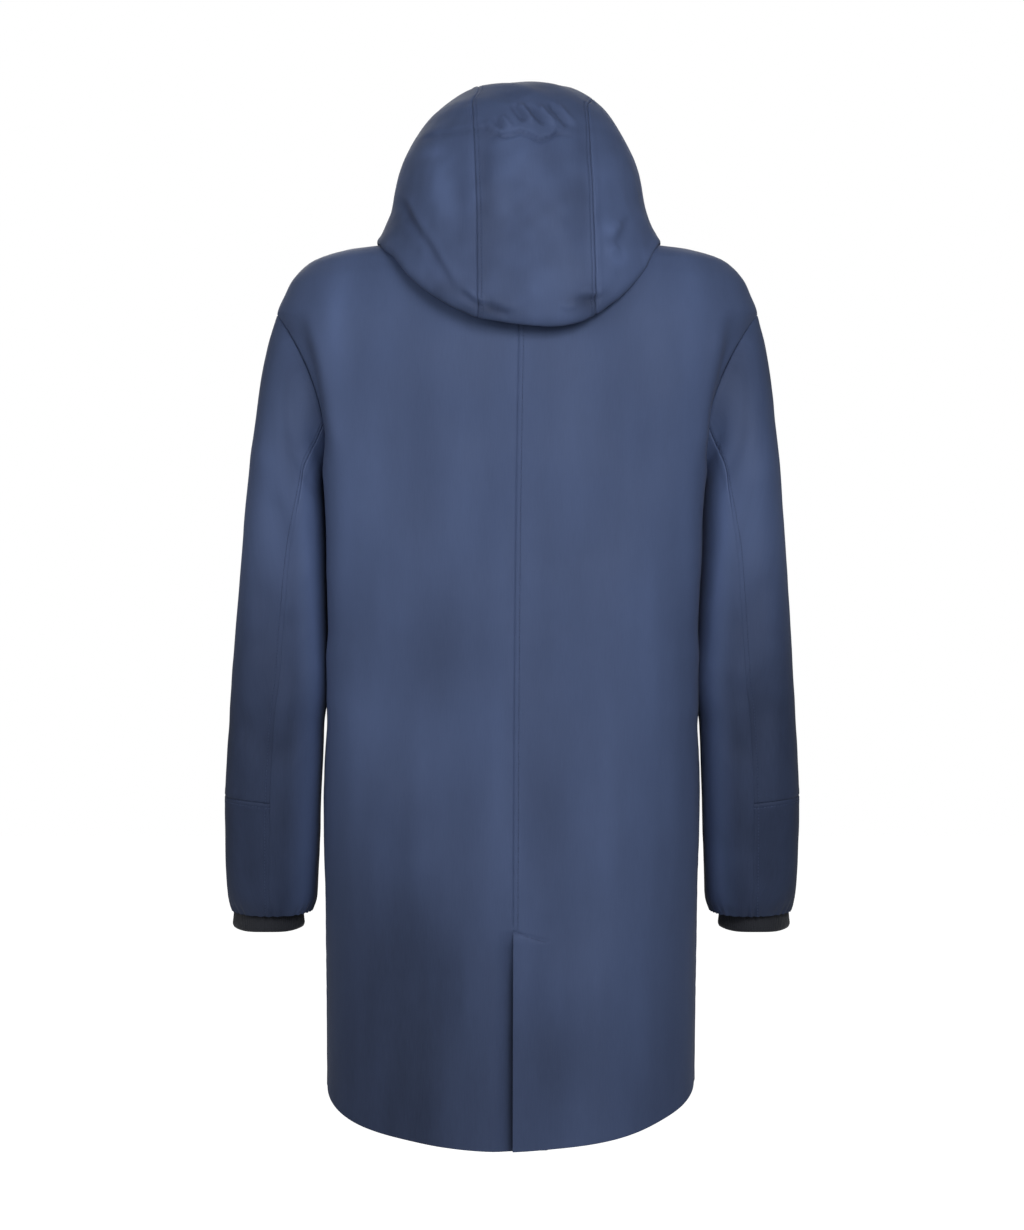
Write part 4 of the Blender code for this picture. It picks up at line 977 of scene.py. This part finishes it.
HOOD_CREASES = (                # seen from the back
    (((0.121, 0.046), (0.108, 0.022), (0.098, 0.006), (0.084, -0.014), (0.070, -0.038),
      (0.054, -0.064)), 0.0042, 0.0024, 0.0040),
    (((0.113, 0.040), (0.099, 0.016), (0.086, -0.006), (0.073, -0.030), (0.060, -0.054)),
     0.0044, -0.0016),
    (((0.030, 0.112), (0.028, 0.080), (0.030, 0.045)), 0.0100, -0.0018),
    (((-0.006, 0.092), (-0.010, 0.070), (-0.006, 0.040)), 0.0160, 0.0016),
    (((0.118, 0.036), (0.106, 0.010), (0.094, -0.008)), 0.0060, -0.0016),
    (((0.080, 0.085), (0.078, 0.040), (0.062, -0.006)), 0.0120, 0.0026),
    (((0.062, 0.080), (0.058, 0.040), (0.052, 0.000)), 0.0100, -0.0016),
    (((-0.104, 0.012), (-0.096, 0.006), (-0.090, -0.002)), 0.0060, 0.0020),
    (((-0.100, -0.012), (-0.092, -0.016), (-0.086, -0.022)), 0.0050, 0.0018),
    (((-0.112, 0.020), (-0.100, -0.004), (-0.092, -0.012)), 0.0045, -0.0018),
    (((-0.094, 0.060), (-0.092, 0.030), (-0.084, 0.000)), 0.0100, -0.0014),
    (((0.060, -0.056), (0.050, -0.066), (0.036, -0.074)), 0.0030, -0.0026),
    (((0.056, -0.050), (0.044, -0.061), (0.030, -0.069)), 0.0030, 0.0022),
    (((0.036, -0.068), (0.024, -0.076), (0.008, -0.080)), 0.0032, -0.0020),
    (((0.030, -0.062), (0.016, -0.070), (0.000, -0.074)), 0.0034, 0.0014),
    (((-0.054, -0.062), (-0.066, -0.066), (-0.082, -0.062)), 0.0032, -0.0026),
    (((-0.058, -0.056), (-0.072, -0.058), (-0.086, -0.054)), 0.0032, 0.0020),
    (((-0.036, -0.072), (-0.046, -0.074), (-0.058, -0.072)), 0.0030, 0.0016),
    (((0.014, 0.060), (0.008, 0.020), (0.010, -0.030)), 0.0180, -0.0020),
    (((-0.030, 0.070), (-0.036, 0.030), (-0.034, -0.020)), 0.0140, 0.0016),
    (((-0.010, 0.030), (-0.016, 0.000), (-0.012, -0.040)), 0.0120, 0.0012),
)
GATHER_CREASES = (              # puckers above the drawcord channel
    (((0.010, 0.131), (0.004, 0.120), (-0.003, 0.108)), 0.0030, -0.0034),
    (((0.002, 0.132), (-0.004, 0.120), (-0.012, 0.106)), 0.0028, 0.0034),
    (((-0.006, 0.130), (-0.014, 0.117), (-0.023, 0.104)), 0.0030, -0.0038),
    (((-0.015, 0.130), (-0.023, 0.118), (-0.033, 0.104)), 0.0030, 0.0034),
    (((-0.026, 0.133), (-0.035, 0.119), (-0.046, 0.104)), 0.0032, -0.0036),
    (((-0.036, 0.131), (-0.044, 0.118), (-0.054, 0.106)), 0.0030, 0.0020),
    (((0.028, 0.116), (0.023, 0.108), (0.019, 0.100)), 0.0028, -0.0028),
    (((0.034, 0.114), (0.030, 0.106), (0.026, 0.098)), 0.0028, 0.0028),
    (((0.020, 0.118), (0.015, 0.110), (0.010, 0.101)), 0.0028, 0.0026),
)
CHANNEL = ((0.092, 0.100), (0.046, 0.104), (0.030, 0.104), (0.024, 0.100), (0.017, 0.096),
           (0.008, 0.097), (-0.001, 0.100), (-0.009, 0.097), (-0.020, 0.091), (-0.030, 0.094),
           (-0.036, 0.099), (-0.056, 0.098))


def shoulder_height(x, y):
    """Height of the shoulders under a point: the height at which the body's section passes
    through it, or far below where the point lies outside them."""
    heights = np.linspace(ARMHOLE_TOP, NECK_HEIGHT, 41)
    angle = np.arctan2(y, x)[..., None]
    section = body(angle, heights + 0.0 * angle)
    radius = np.hypot(section[..., 0], section[..., 1])
    wide = np.hypot(x, y)
    count = (radius >= wide[..., None]).sum(axis=-1)
    low = np.clip(count - 1, 0, len(heights) - 2)
    near, far = (np.take_along_axis(radius, low[..., None] + k, -1)[..., 0] for k in (0, 1))
    share = np.clip((near - wide) / np.maximum(near - far, 1e-9), 0.0, 1.0)
    return np.where(count > 0, heights[low] + share * (heights[1] - heights[0]), -1.0)


def hood(angle, level):
    """A point of the hood at an angle about the neck's axis and a level of its table: a
    superellipse in plan, its height running from the side's to the back's or the front's, kept
    above the shoulders, and drawn to the neck seam in its last level. Over the crown the cloth
    is pulled a little to the wearer's right, and the fold behind the neck is tilted."""
    moved = CROWN_SHIFT * ramp(level, 3.3, 2.1) * ramp(level * np.sin(angle), -3.4, 0.0)
    across, along = level * np.cos(angle) - moved, level * np.sin(angle)
    angle, level = np.arctan2(along, across), np.hypot(across, along)
    at = {name: smooth(level, HOOD_LEVELS, HOOD_AT[name]) for name in HOOD_COLUMNS}
    c, s = np.cos(angle), np.sin(angle)
    reach = np.where(s > 0, at["back"], at["front"])
    end_z = np.where(s > 0, at["back_z"], at["front_z"])
    share = (1.0 - np.abs(c) ** HOOD_FOLD[0]) ** HOOD_FOLD[1]
    swell = np.abs(c) ** at["squareness"] + np.abs(s) ** at["squareness"]
    swell = swell ** (-1.0 / at["squareness"])
    heights = at["side_z"] + (end_z - at["side_z"]) * share
    x, y = at["side"] * c * swell - at["lean"], reach * s * swell
    tilted = ramp(level, 7.5, 10.0) * ramp(level, 13.8, 12.0) * ramp(y, 0.0, 0.05)
    tilted = tilted * ramp(np.abs(x), 0.138, 0.120)
    heights = heights + FOLD_TILT * (2.0 * ramp(x, -0.10, 0.07) - 1.0) * tilted
    clear = HOOD_CLEAR[0] + (HOOD_CLEAR[1] - HOOD_CLEAR[0]) * ramp(level, 11.0, 9.4)
    floor = shoulder_height(x, y) + clear * np.clip(HOOD_NECK - level, 0.0, 1.0)
    over = heights - floor
    soft = floor + 0.5 * (over + np.sqrt(over ** 2 + HOOD_SOFT ** 2))
    heights = np.where(floor > -0.5, soft, heights)
    plain = np.stack([x, y, heights], axis=-1)
    ring = neck_seam(angle) + np.array([0.0, 0.0, NECK_LIFT])
    join = np.clip(level - (HOOD_NECK - 1), 0.0, 1.0)[..., None]
    return plain * (1.0 - join) + ring * join


def across_angle(half_width, level):
    """Angle from the side at which a level of the hood is half_width from its middle."""
    share = np.clip(half_width / smooth(level, HOOD_LEVELS, HOOD_AT["side"]), 0.0, 1.0)
    power = smooth(level, HOOD_LEVELS, HOOD_AT["squareness"])
    return np.arctan2((1.0 - share ** power) ** (1.0 / power), share)


def front_angle(level):
    """Angle from the side of a side piece's front edge: the strip's seam above the forehead,
    then the face opening, then the zip."""
    opening = smooth(level, HOOD_LEVELS, HOOD_AT["opening"])
    half = np.where(level <= FOREHEAD, STRIP_HALF, np.where(level >= CHIN, ZIP_SLOT, opening))
    return across_angle(half, level)


crown_levels = np.linspace(1.0, 4.0, 1201)
crown_widths = smooth(crown_levels, HOOD_LEVELS, HOOD_AT["side"])
CROWN = float(np.interp(STRIP_HALF, crown_widths, crown_levels))   # level as wide as the strip


def strip_rows(level, way, share):
    """Rows of the strip: straight across the crown, then more and more along their level."""
    edge = across_angle(STRIP_HALF, level)
    across, along = level * np.cos(edge) * share, level * np.sin(edge) * way + 0.0 * share
    bow = np.hypot(across, along)
    bow = bow + (level - bow) * np.clip((level - 3.0) / 3.0, 0.0, 1.0)
    return hood(np.arctan2(along, across) + HOOD_TURN, np.minimum(bow, HOOD_NECK))


def side_rows(sign, level, share):
    """Rows of a side piece, from the strip's seam round to the front edge."""
    start, end = across_angle(STRIP_HALF, level), -front_angle(level)
    turn = HOOD_TURN * np.clip((CHIN - level) / 3.0, 0.0, 1.0)
    if sign < 0:
        start, end = math.pi - start, math.pi - end
    start, end = start + HOOD_TURN, end + turn
    return hood(start + (end - start) * share, level + 0.0 * share)


def channel_relief(points):
    """The drawcord channel: a tuck along a wavy line across the crown, the cloth above it
    standing over the cloth below."""
    hung = hang(points)
    x = hung[..., 0]
    line = np.array(CHANNEL)[::-1]
    above = hung[..., 2] - np.interp(x, line[:, 0], line[:, 1])
    on = ramp(points[..., 1], -0.02, 0.01) * ramp(x, -0.06, -0.04) * ramp(x, 0.098, 0.086)
    puffed = ramp(np.abs(x + 0.006), 0.038, 0.026)
    step = (0.0013 + 0.0023 * puffed) * ramp(above, -0.0014, 0.0014)
    step = step * np.exp(-np.clip(above, 0, None) / 0.012)
    groove = -(0.0011 + 0.0015 * puffed) * np.exp(-((above + 0.0014) / 0.0020) ** 2)
    return (step + groove) * on


HOOD_SHADING_PATCHES = (                  # middle, reach, and amount: painted light above nought, painted shade below
    ((-0.010, 0.052), (0.030, 0.048), 0.0020),
    ((-0.098, 0.040), (0.018, 0.045), 0.0026),
    ((0.033, 0.040), (0.009, 0.045), -0.0040),
    ((-0.064, 0.044), (0.011, 0.048), -0.0020),
    ((0.078, 0.049), (0.016, 0.040), 0.0022),
    ((0.056, 0.030), (0.006, 0.050), -0.0028),
    ((0.060, 0.104), (0.030, 0.014), -0.0036),
    ((0.086, 0.082), (0.013, 0.007), 0.0050),
    ((0.068, -0.056), (0.020, 0.012), -0.0044),
    ((0.038, -0.076), (0.030, 0.008), -0.0052),
    ((-0.066, -0.068), (0.022, 0.010), -0.0050),
    ((-0.097, -0.023), (0.009, 0.009), 0.0060),
    ((-0.084, 0.004), (0.008, 0.012), 0.0040),
    ((-0.020, -0.030), (0.030, 0.022), 0.0016),
    ((0.112, 0.010), (0.014, 0.020), -0.0030),
)
HOOD_INSIDE = (0.0, 0.0, 0.06)
HOOD_SHEETS = {                 # flat size of the piece, and its area, in metres
    "hood_centre": ((0.130, 0.570), 0.072), "hood_left": ((0.330, 0.330), 0.075),
    "hood_right": ((0.330, 0.330), 0.065),
}
HOOD_TRACE = (400, 1600)        # places at which the strip's length is measured, fore and aft
STRIP_GRID = (260, 66)          # rows and columns between the sewn edges
HOOD_SIDE_GRID = (150, 96)
NECK_TUCK = 0.018               # the pressed line above the neck seam


def hood_relief(grid, hung, left_over):
    """Height of the hood's creases, its small unevenness and its channel, which die away where
    less than 60 mm of cloth is left above the neck seam."""
    behind = ramp(grid[..., 1], 0.0, 0.03)
    s, z = hung[..., 0] + hung[..., 1], hung[..., 2]
    height = creases(hung, HOOD_CREASES, 200) * behind
    height += creases(hung, GATHER_CREASES, 300) * behind
    height += 0.0009 * unevenness(s, z, 0.030, 201) + 0.0003 * unevenness(s, z, 0.012, 202)
    height += channel_relief(grid)
    return height * ramp(left_over, 0.0, 0.060)


def hood_shading_and_mottle(grid, hung, height, piece_shading):
    """How much lighter or darker the hood is: painted highlights on its ridges and painted shade in
    its troughs, patches of painted light and shade behind, the centre strip painted darker than the
    sides, painted shade growing to the wearer's left and paler to the right, and mottled in its own
    tone by two noises."""
    x, y, z = hung[..., 0], hung[..., 1], hung[..., 2]
    tone_and_painted_shading = 1.8 * painted_fold_shading(height) + piece_shading
    tone_and_painted_shading += shading_patches(hung, HOOD_SHADING_PATCHES) * ramp(grid[..., 1], 0.0, 0.03) - 0.016 * x
    tone_and_painted_shading += 0.0020 * unevenness(x + y, 0.6 * z, 0.030, 211)
    return tone_and_painted_shading + 0.0012 * unevenness(x - y, z, 0.013, 212)


share = np.linspace(0.0, 1.0, 300)[None, :]
fine = np.concatenate([
    -CROWN - (FOREHEAD - CROWN) * np.linspace(1.0, 0.0, HOOD_TRACE[0]) ** 2,
    CROWN + (HOOD_NECK - CROWN) * np.linspace(0.0, 1.0, HOOD_TRACE[1])[1:] ** 2])
spine = strip_rows(np.abs(fine)[:, None], np.sign(fine + CROWN)[:, None] * 1.0,
                   np.zeros((1, 1)))[:, 0]
along = runs(spine[None], 1)[0]
signed = np.interp(places(along[-1], STRIP_GRID[0], True, False), along, fine)
signed = np.copysign(np.maximum(np.abs(signed), CROWN), signed)
strip = strip_rows(np.abs(signed)[:, None], np.where(signed < -CROWN, -1.0, 1.0)[:, None],
                   2.0 * share - 1.0)
hood_pieces = [("hood_centre", respace(strip, STRIP_GRID[1]))]
for hand, sign in (("left", 1), ("right", -1)):
    levels = CROWN + (HOOD_NECK - CROWN) * np.linspace(0.0, 1.0, HOOD_TRACE[1]) ** 2
    spine = side_rows(sign, levels[:, None], np.zeros((1, 1)))[:, 0]
    run = runs(spine[None], 1)[0]
    level = np.interp(places(run[-1], HOOD_SIDE_GRID[0], False, False), run, levels)[:, None]
    grid = respace(side_rows(sign, level, share), HOOD_SIDE_GRID[1])
    hood_pieces.append((f"hood_{hand}", grid))
hood_paths = []
for name, grid in hood_pieces:
    middle = name == "hood_centre"
    normal = outward(grid, HOOD_INSIDE)
    if not middle:
        # the side piece comes to a point on the crown
        normal[0] = normal[1].mean(axis=0) / np.linalg.norm(normal[1].mean(axis=0))
    hung = hang(grid)
    across, up = runs(grid, 1), runs(grid, 0)
    height = hood_relief(grid, hung, up[-1:] - up)
    # painted light and shade on the hood, with its own mottled tone
    tone_and_painted_shading = hood_shading_and_mottle(grid, hung, height, -0.0010 if middle else 0.0006)
    nearer = np.minimum(across, across[:, -1:] - across)
    firm = 1.4 - 0.8 * ramp(grid[..., 2], 0.136, 0.150)
    height = height + seam_relief(nearer, grid, middle, firm)
    if middle:
        height += -0.0004 * np.exp(-((up - NECK_TUCK) / 0.001) ** 2)
    shaped = grid + normal * height[..., None]
    piece = cloth_mesh(name + "_cloth", [shaped], HOOD_INSIDE, SHELL, tone_and_painted_shading=tone_and_painted_shading)
    flat, area = HOOD_SHEETS[name]
    cut(piece, name)
    if middle:
        for column in (STITCH_LINE, -1 - STITCH_LINE):
            hood_paths.append((shaped[:, column], normal[:, column]))
stitches("hood_stitching", hood_paths, THREAD)


# ------------------------------------------------------------------ the zip
# Two tapes of black woven polyester, sewn behind the edges of the fronts and of the hood as far
# as the chin, each with a corded edge. A row of moulded teeth is clamped on each cord.
ZIP_TAPE = 0.0105               # the tape's outer edge from the middle
ZIP_COIL = 0.0030               # the tape dips behind the cloth from here outwards
ZIP_UNDER = 0.0012              # the tape's face below the cloth's outer side, at its corded edge
ZIP_STEP = 0.0030               # between rows of the tape
ZIP_ENDS = (0.0022, 0.0008)     # the tape above the hem, and short of the chin
TEETH_ENDS = (0.004, 0.002)     # the teeth from the two ends of the tape's line
TAPE_WALL = 0.0006
TOOTH_PITCH = 0.0025
TOOTH_LENGTH = 0.82             # as a share of the pitch
TOOTH_MIDDLE = 0.0004           # the layers are scaled about this far across
TAPE = woven("zip tape", (0.012, 0.013, 0.016), (0.019, 0.020, 0.024), 0.75, 0.10,
             0.0005, 0.9, 0.5, 0.04)
front_edge = respace(half_body(-1, FRONT_ROWS, ZIP_SLOT), BODY_MIDDLE)[:, 0]
rising = side_rows(1, np.linspace(HOOD_NECK, CHIN, 60)[:, None], np.ones((1, 1)))[:, 0]
zip_line = np.concatenate([front_edge, rising[1:]])[:, 1:]
zip_run = runs(zip_line[None], 1)[0]
zip_at = np.arange(ZIP_ENDS[0], zip_run[-1] - ZIP_ENDS[1], ZIP_STEP)
zip_line = along_path(zip_at, zip_run, zip_line)
zip_way = np.gradient(zip_line, axis=0)
zip_way /= np.linalg.norm(zip_way, axis=1, keepdims=True)
zip_out = np.stack([-zip_way[:, 1], zip_way[:, 0]], axis=1)
tape_across = np.array([0.0004, 0.0007, 0.0012, 0.0018, 0.0022, 0.0026, 0.0034, 0.0045, 0.0060,
                        0.0078, 0.0092, 0.0100, ZIP_TAPE])
cord = 0.0007 * np.exp(-((tape_across - 0.0014) / 0.0008) ** 2)
sink = np.where(tape_across > ZIP_COIL, WALL + 0.0013, ZIP_UNDER + 0.0006) - cord
tape_place = zip_line[:, None] - zip_out[:, None] * sink[None, :, None]
tape = np.concatenate([np.broadcast_to(tape_across[None, :, None], tape_place.shape[:2] + (1,)),
                       tape_place], axis=2)
tooth_shape = np.array([        # across in metres, and along in shares of the pitch
    (0.0, -0.5), (0.0009, -0.32), (0.0028, -0.42), (0.0032, 0.0), (0.0028, 0.42),
    (0.0009, 0.32), (0.0, 0.5), (-0.0004, 0.0)])
tooth_layers = ((-0.0016, 0.90), (-0.0003, 1.0), (0.0002, 0.82))   # height of each, and its scale
tooth_caps = [(0, 7, 6, 1), (1, 6, 5, 2), (2, 5, 4, 3), (16, 17, 22, 23), (17, 18, 21, 22),
              (18, 19, 20, 21)]
for hand, sign in (("left", 1), ("right", -1)):
    grid = tape if sign > 0 else mirrored(tape)
    band = cloth_mesh(f"zip_{hand}_tape", [grid], (0.0, 0.3, -0.4), TAPE, wall=TAPE_WALL)
    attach(band, "garment")
    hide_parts(f"zip_{hand}")

    shift = 0.0 if sign > 0 else TOOTH_PITCH / 2
    at = np.arange(TEETH_ENDS[0] + shift, zip_at[-1] - TEETH_ENDS[1], TOOTH_PITCH)
    place, way = along_path(at, zip_at, zip_line), along_path(at, zip_at, zip_way)
    out = np.stack([-way[:, 1], way[:, 0]], axis=1)
    layers = []
    for rise, scale in tooth_layers:
        across = (tooth_shape[:, 0] - TOOTH_MIDDLE) * scale + TOOTH_MIDDLE
        along = tooth_shape[:, 1] * TOOTH_PITCH * TOOTH_LENGTH * scale
        flat = place[:, None] + out[:, None] * rise + way[:, None] * along[None, :, None]
        x = np.broadcast_to(sign * across[None, :, None], flat.shape[:2] + (1,))
        layers.append(np.concatenate([x, flat], axis=2))
    points = hang(np.stack(layers, axis=1).reshape(-1, 3))
    faces = tube_faces(3, 8, tooth_caps, len(at))
    faces = faces if sign > 0 else faces[:, ::-1]
    teeth = shaped_object(f"zip_{hand}_teeth", points, faces, TAPE)
    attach(teeth, "garment")


# ------------------------------------------------------------------ the slider and its pull
# A die-cast slider closed at the chin, and a flat pull tab on its pin, in dark satin metal.
METAL, tree, shader = new_finish("gunmetal")
where = node(tree, "ShaderNodeTexCoord").outputs["Object"]
stain = node(tree, "ShaderNodeTexNoise", {"Vector": where, "Scale": 260.0, "Detail": 4.0})
grain = node(tree, "ShaderNodeTexNoise", {"Vector": where, "Scale": 2600.0, "Detail": 2.0})
colour = blend(tree, stain.outputs[0], (0.120, 0.125, 0.135), (0.200, 0.205, 0.215))
rough = node(tree, "ShaderNodeMapRange", {0: stain.outputs[0], 1: 0.3, 2: 0.7, 3: 0.30, 4: 0.46})
dent = node(tree, "ShaderNodeBump", {"Strength": 0.15, "Distance": 0.0001,
                                     "Height": grain.outputs[0]})
feed(tree, shader, {"Base Color": colour, "Roughness": rough.outputs[0],
                    "Normal": dent.outputs[0], "Metallic": 1.0})
for name in ("zip_slider", "zip_pull"):
    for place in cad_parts[name].material_slots:
        place.material = METAL


# ------------------------------------------------------------------ studio
# A pale floor well below the hem, soft lights, and the camera straight behind the garment.
FLOOR_HEIGHT = -1.48
FLOOR_HALF = 16.0
GLOW = 0.93                     # of the floor, as the camera sees it
SKY_LIGHT = 0.16                # of the sky on the garment; the camera sees it at full strength
CAMERA_PLACE = (0.007, 4.0, -0.370)
SENSOR_WIDTH = 36.0             # in millimetres, as is the focal length
FOCAL_LENGTH = 140.625
pale, tree, shader = new_finish("pale floor")
mottle = node(tree, "ShaderNodeTexNoise", {"Scale": 3.0, "Detail": 2.0})
seen = node(tree, "ShaderNodeLightPath").outputs["Is Camera Ray"]
feed(tree, shader, {
    "Base Color": blend(tree, mottle.outputs[0], (0.86, 0.86, 0.86), (0.90, 0.90, 0.90)),
    "Roughness": 0.9, "Emission Color": (1.0, 1.0, 1.0, 1.0),
    "Emission Strength": maths(tree, "MULTIPLY", seen, GLOW)})
lines = np.linspace(-FLOOR_HALF, FLOOR_HALF, 3)
width, length = np.meshgrid(lines, lines)
corners = np.stack([width.ravel(), length.ravel(), np.full(9, FLOOR_HEIGHT)], axis=1)
floor_faces = np.array([(0, 1, 4, 3), (1, 2, 5, 4), (3, 4, 7, 6), (4, 5, 8, 7)])
floor = shaped_object("floor", corners, floor_faces, pale)

world = bpy.data.worlds.new("studio")
bpy.context.scene.world = world
world.use_nodes = True
sky = world.node_tree
seen = node(sky, "ShaderNodeLightPath").outputs["Is Camera Ray"]
feed(sky, sky.nodes["Background"], {
    "Color": (1.0, 1.0, 1.0, 1.0),
    "Strength": maths(sky, "MULTIPLY_ADD", seen, 1.0 - SKY_LIGHT, SKY_LIGHT)})

LIGHTS = (                      # name, place, aim, size, spread in degrees, power in watts
    ("key", (-0.55, 1.75, 0.58), (-0.08, 0.10, -0.38), 1.1, 114.0, 10.8),
    ("fill", (2.2, 2.0, 0.6), (0.05, 0.0, -0.20), 1.6, 110.0, 10.5),
    ("level", (-0.3, 4.4, -0.30), (0.0, 0.0, -0.40), 0.9, 180.0, 12.0),
    ("front", (0.2, -3.2, 1.2), (0.0, 0.0, -0.35), 2.4, 180.0, 58.0),
)
for name, place, aim, size, spread, power in LIGHTS:
    light = bpy.data.lights.new(name, "AREA")
    light.size, light.energy, light.spread = size, power, math.radians(spread)
    lamp = bpy.data.objects.new(name, light)
    lamp.location = place
    lamp.rotation_euler = (Vector(aim) - Vector(place)).to_track_quat("-Z", "Y").to_euler()
    bpy.context.scene.collection.objects.link(lamp)

bpy.context.scene.view_settings.view_transform = "Standard"
lens = bpy.data.cameras.new("camera")
lens.sensor_fit = "HORIZONTAL"
lens.sensor_width, lens.lens = SENSOR_WIDTH, FOCAL_LENGTH
camera = bpy.data.objects.new("camera", lens)
camera.location = CAMERA_PLACE
camera.rotation_euler = (math.radians(90.0), 0.0, math.radians(180.0))
bpy.context.scene.collection.objects.link(camera)
bpy.context.scene.camera = camera
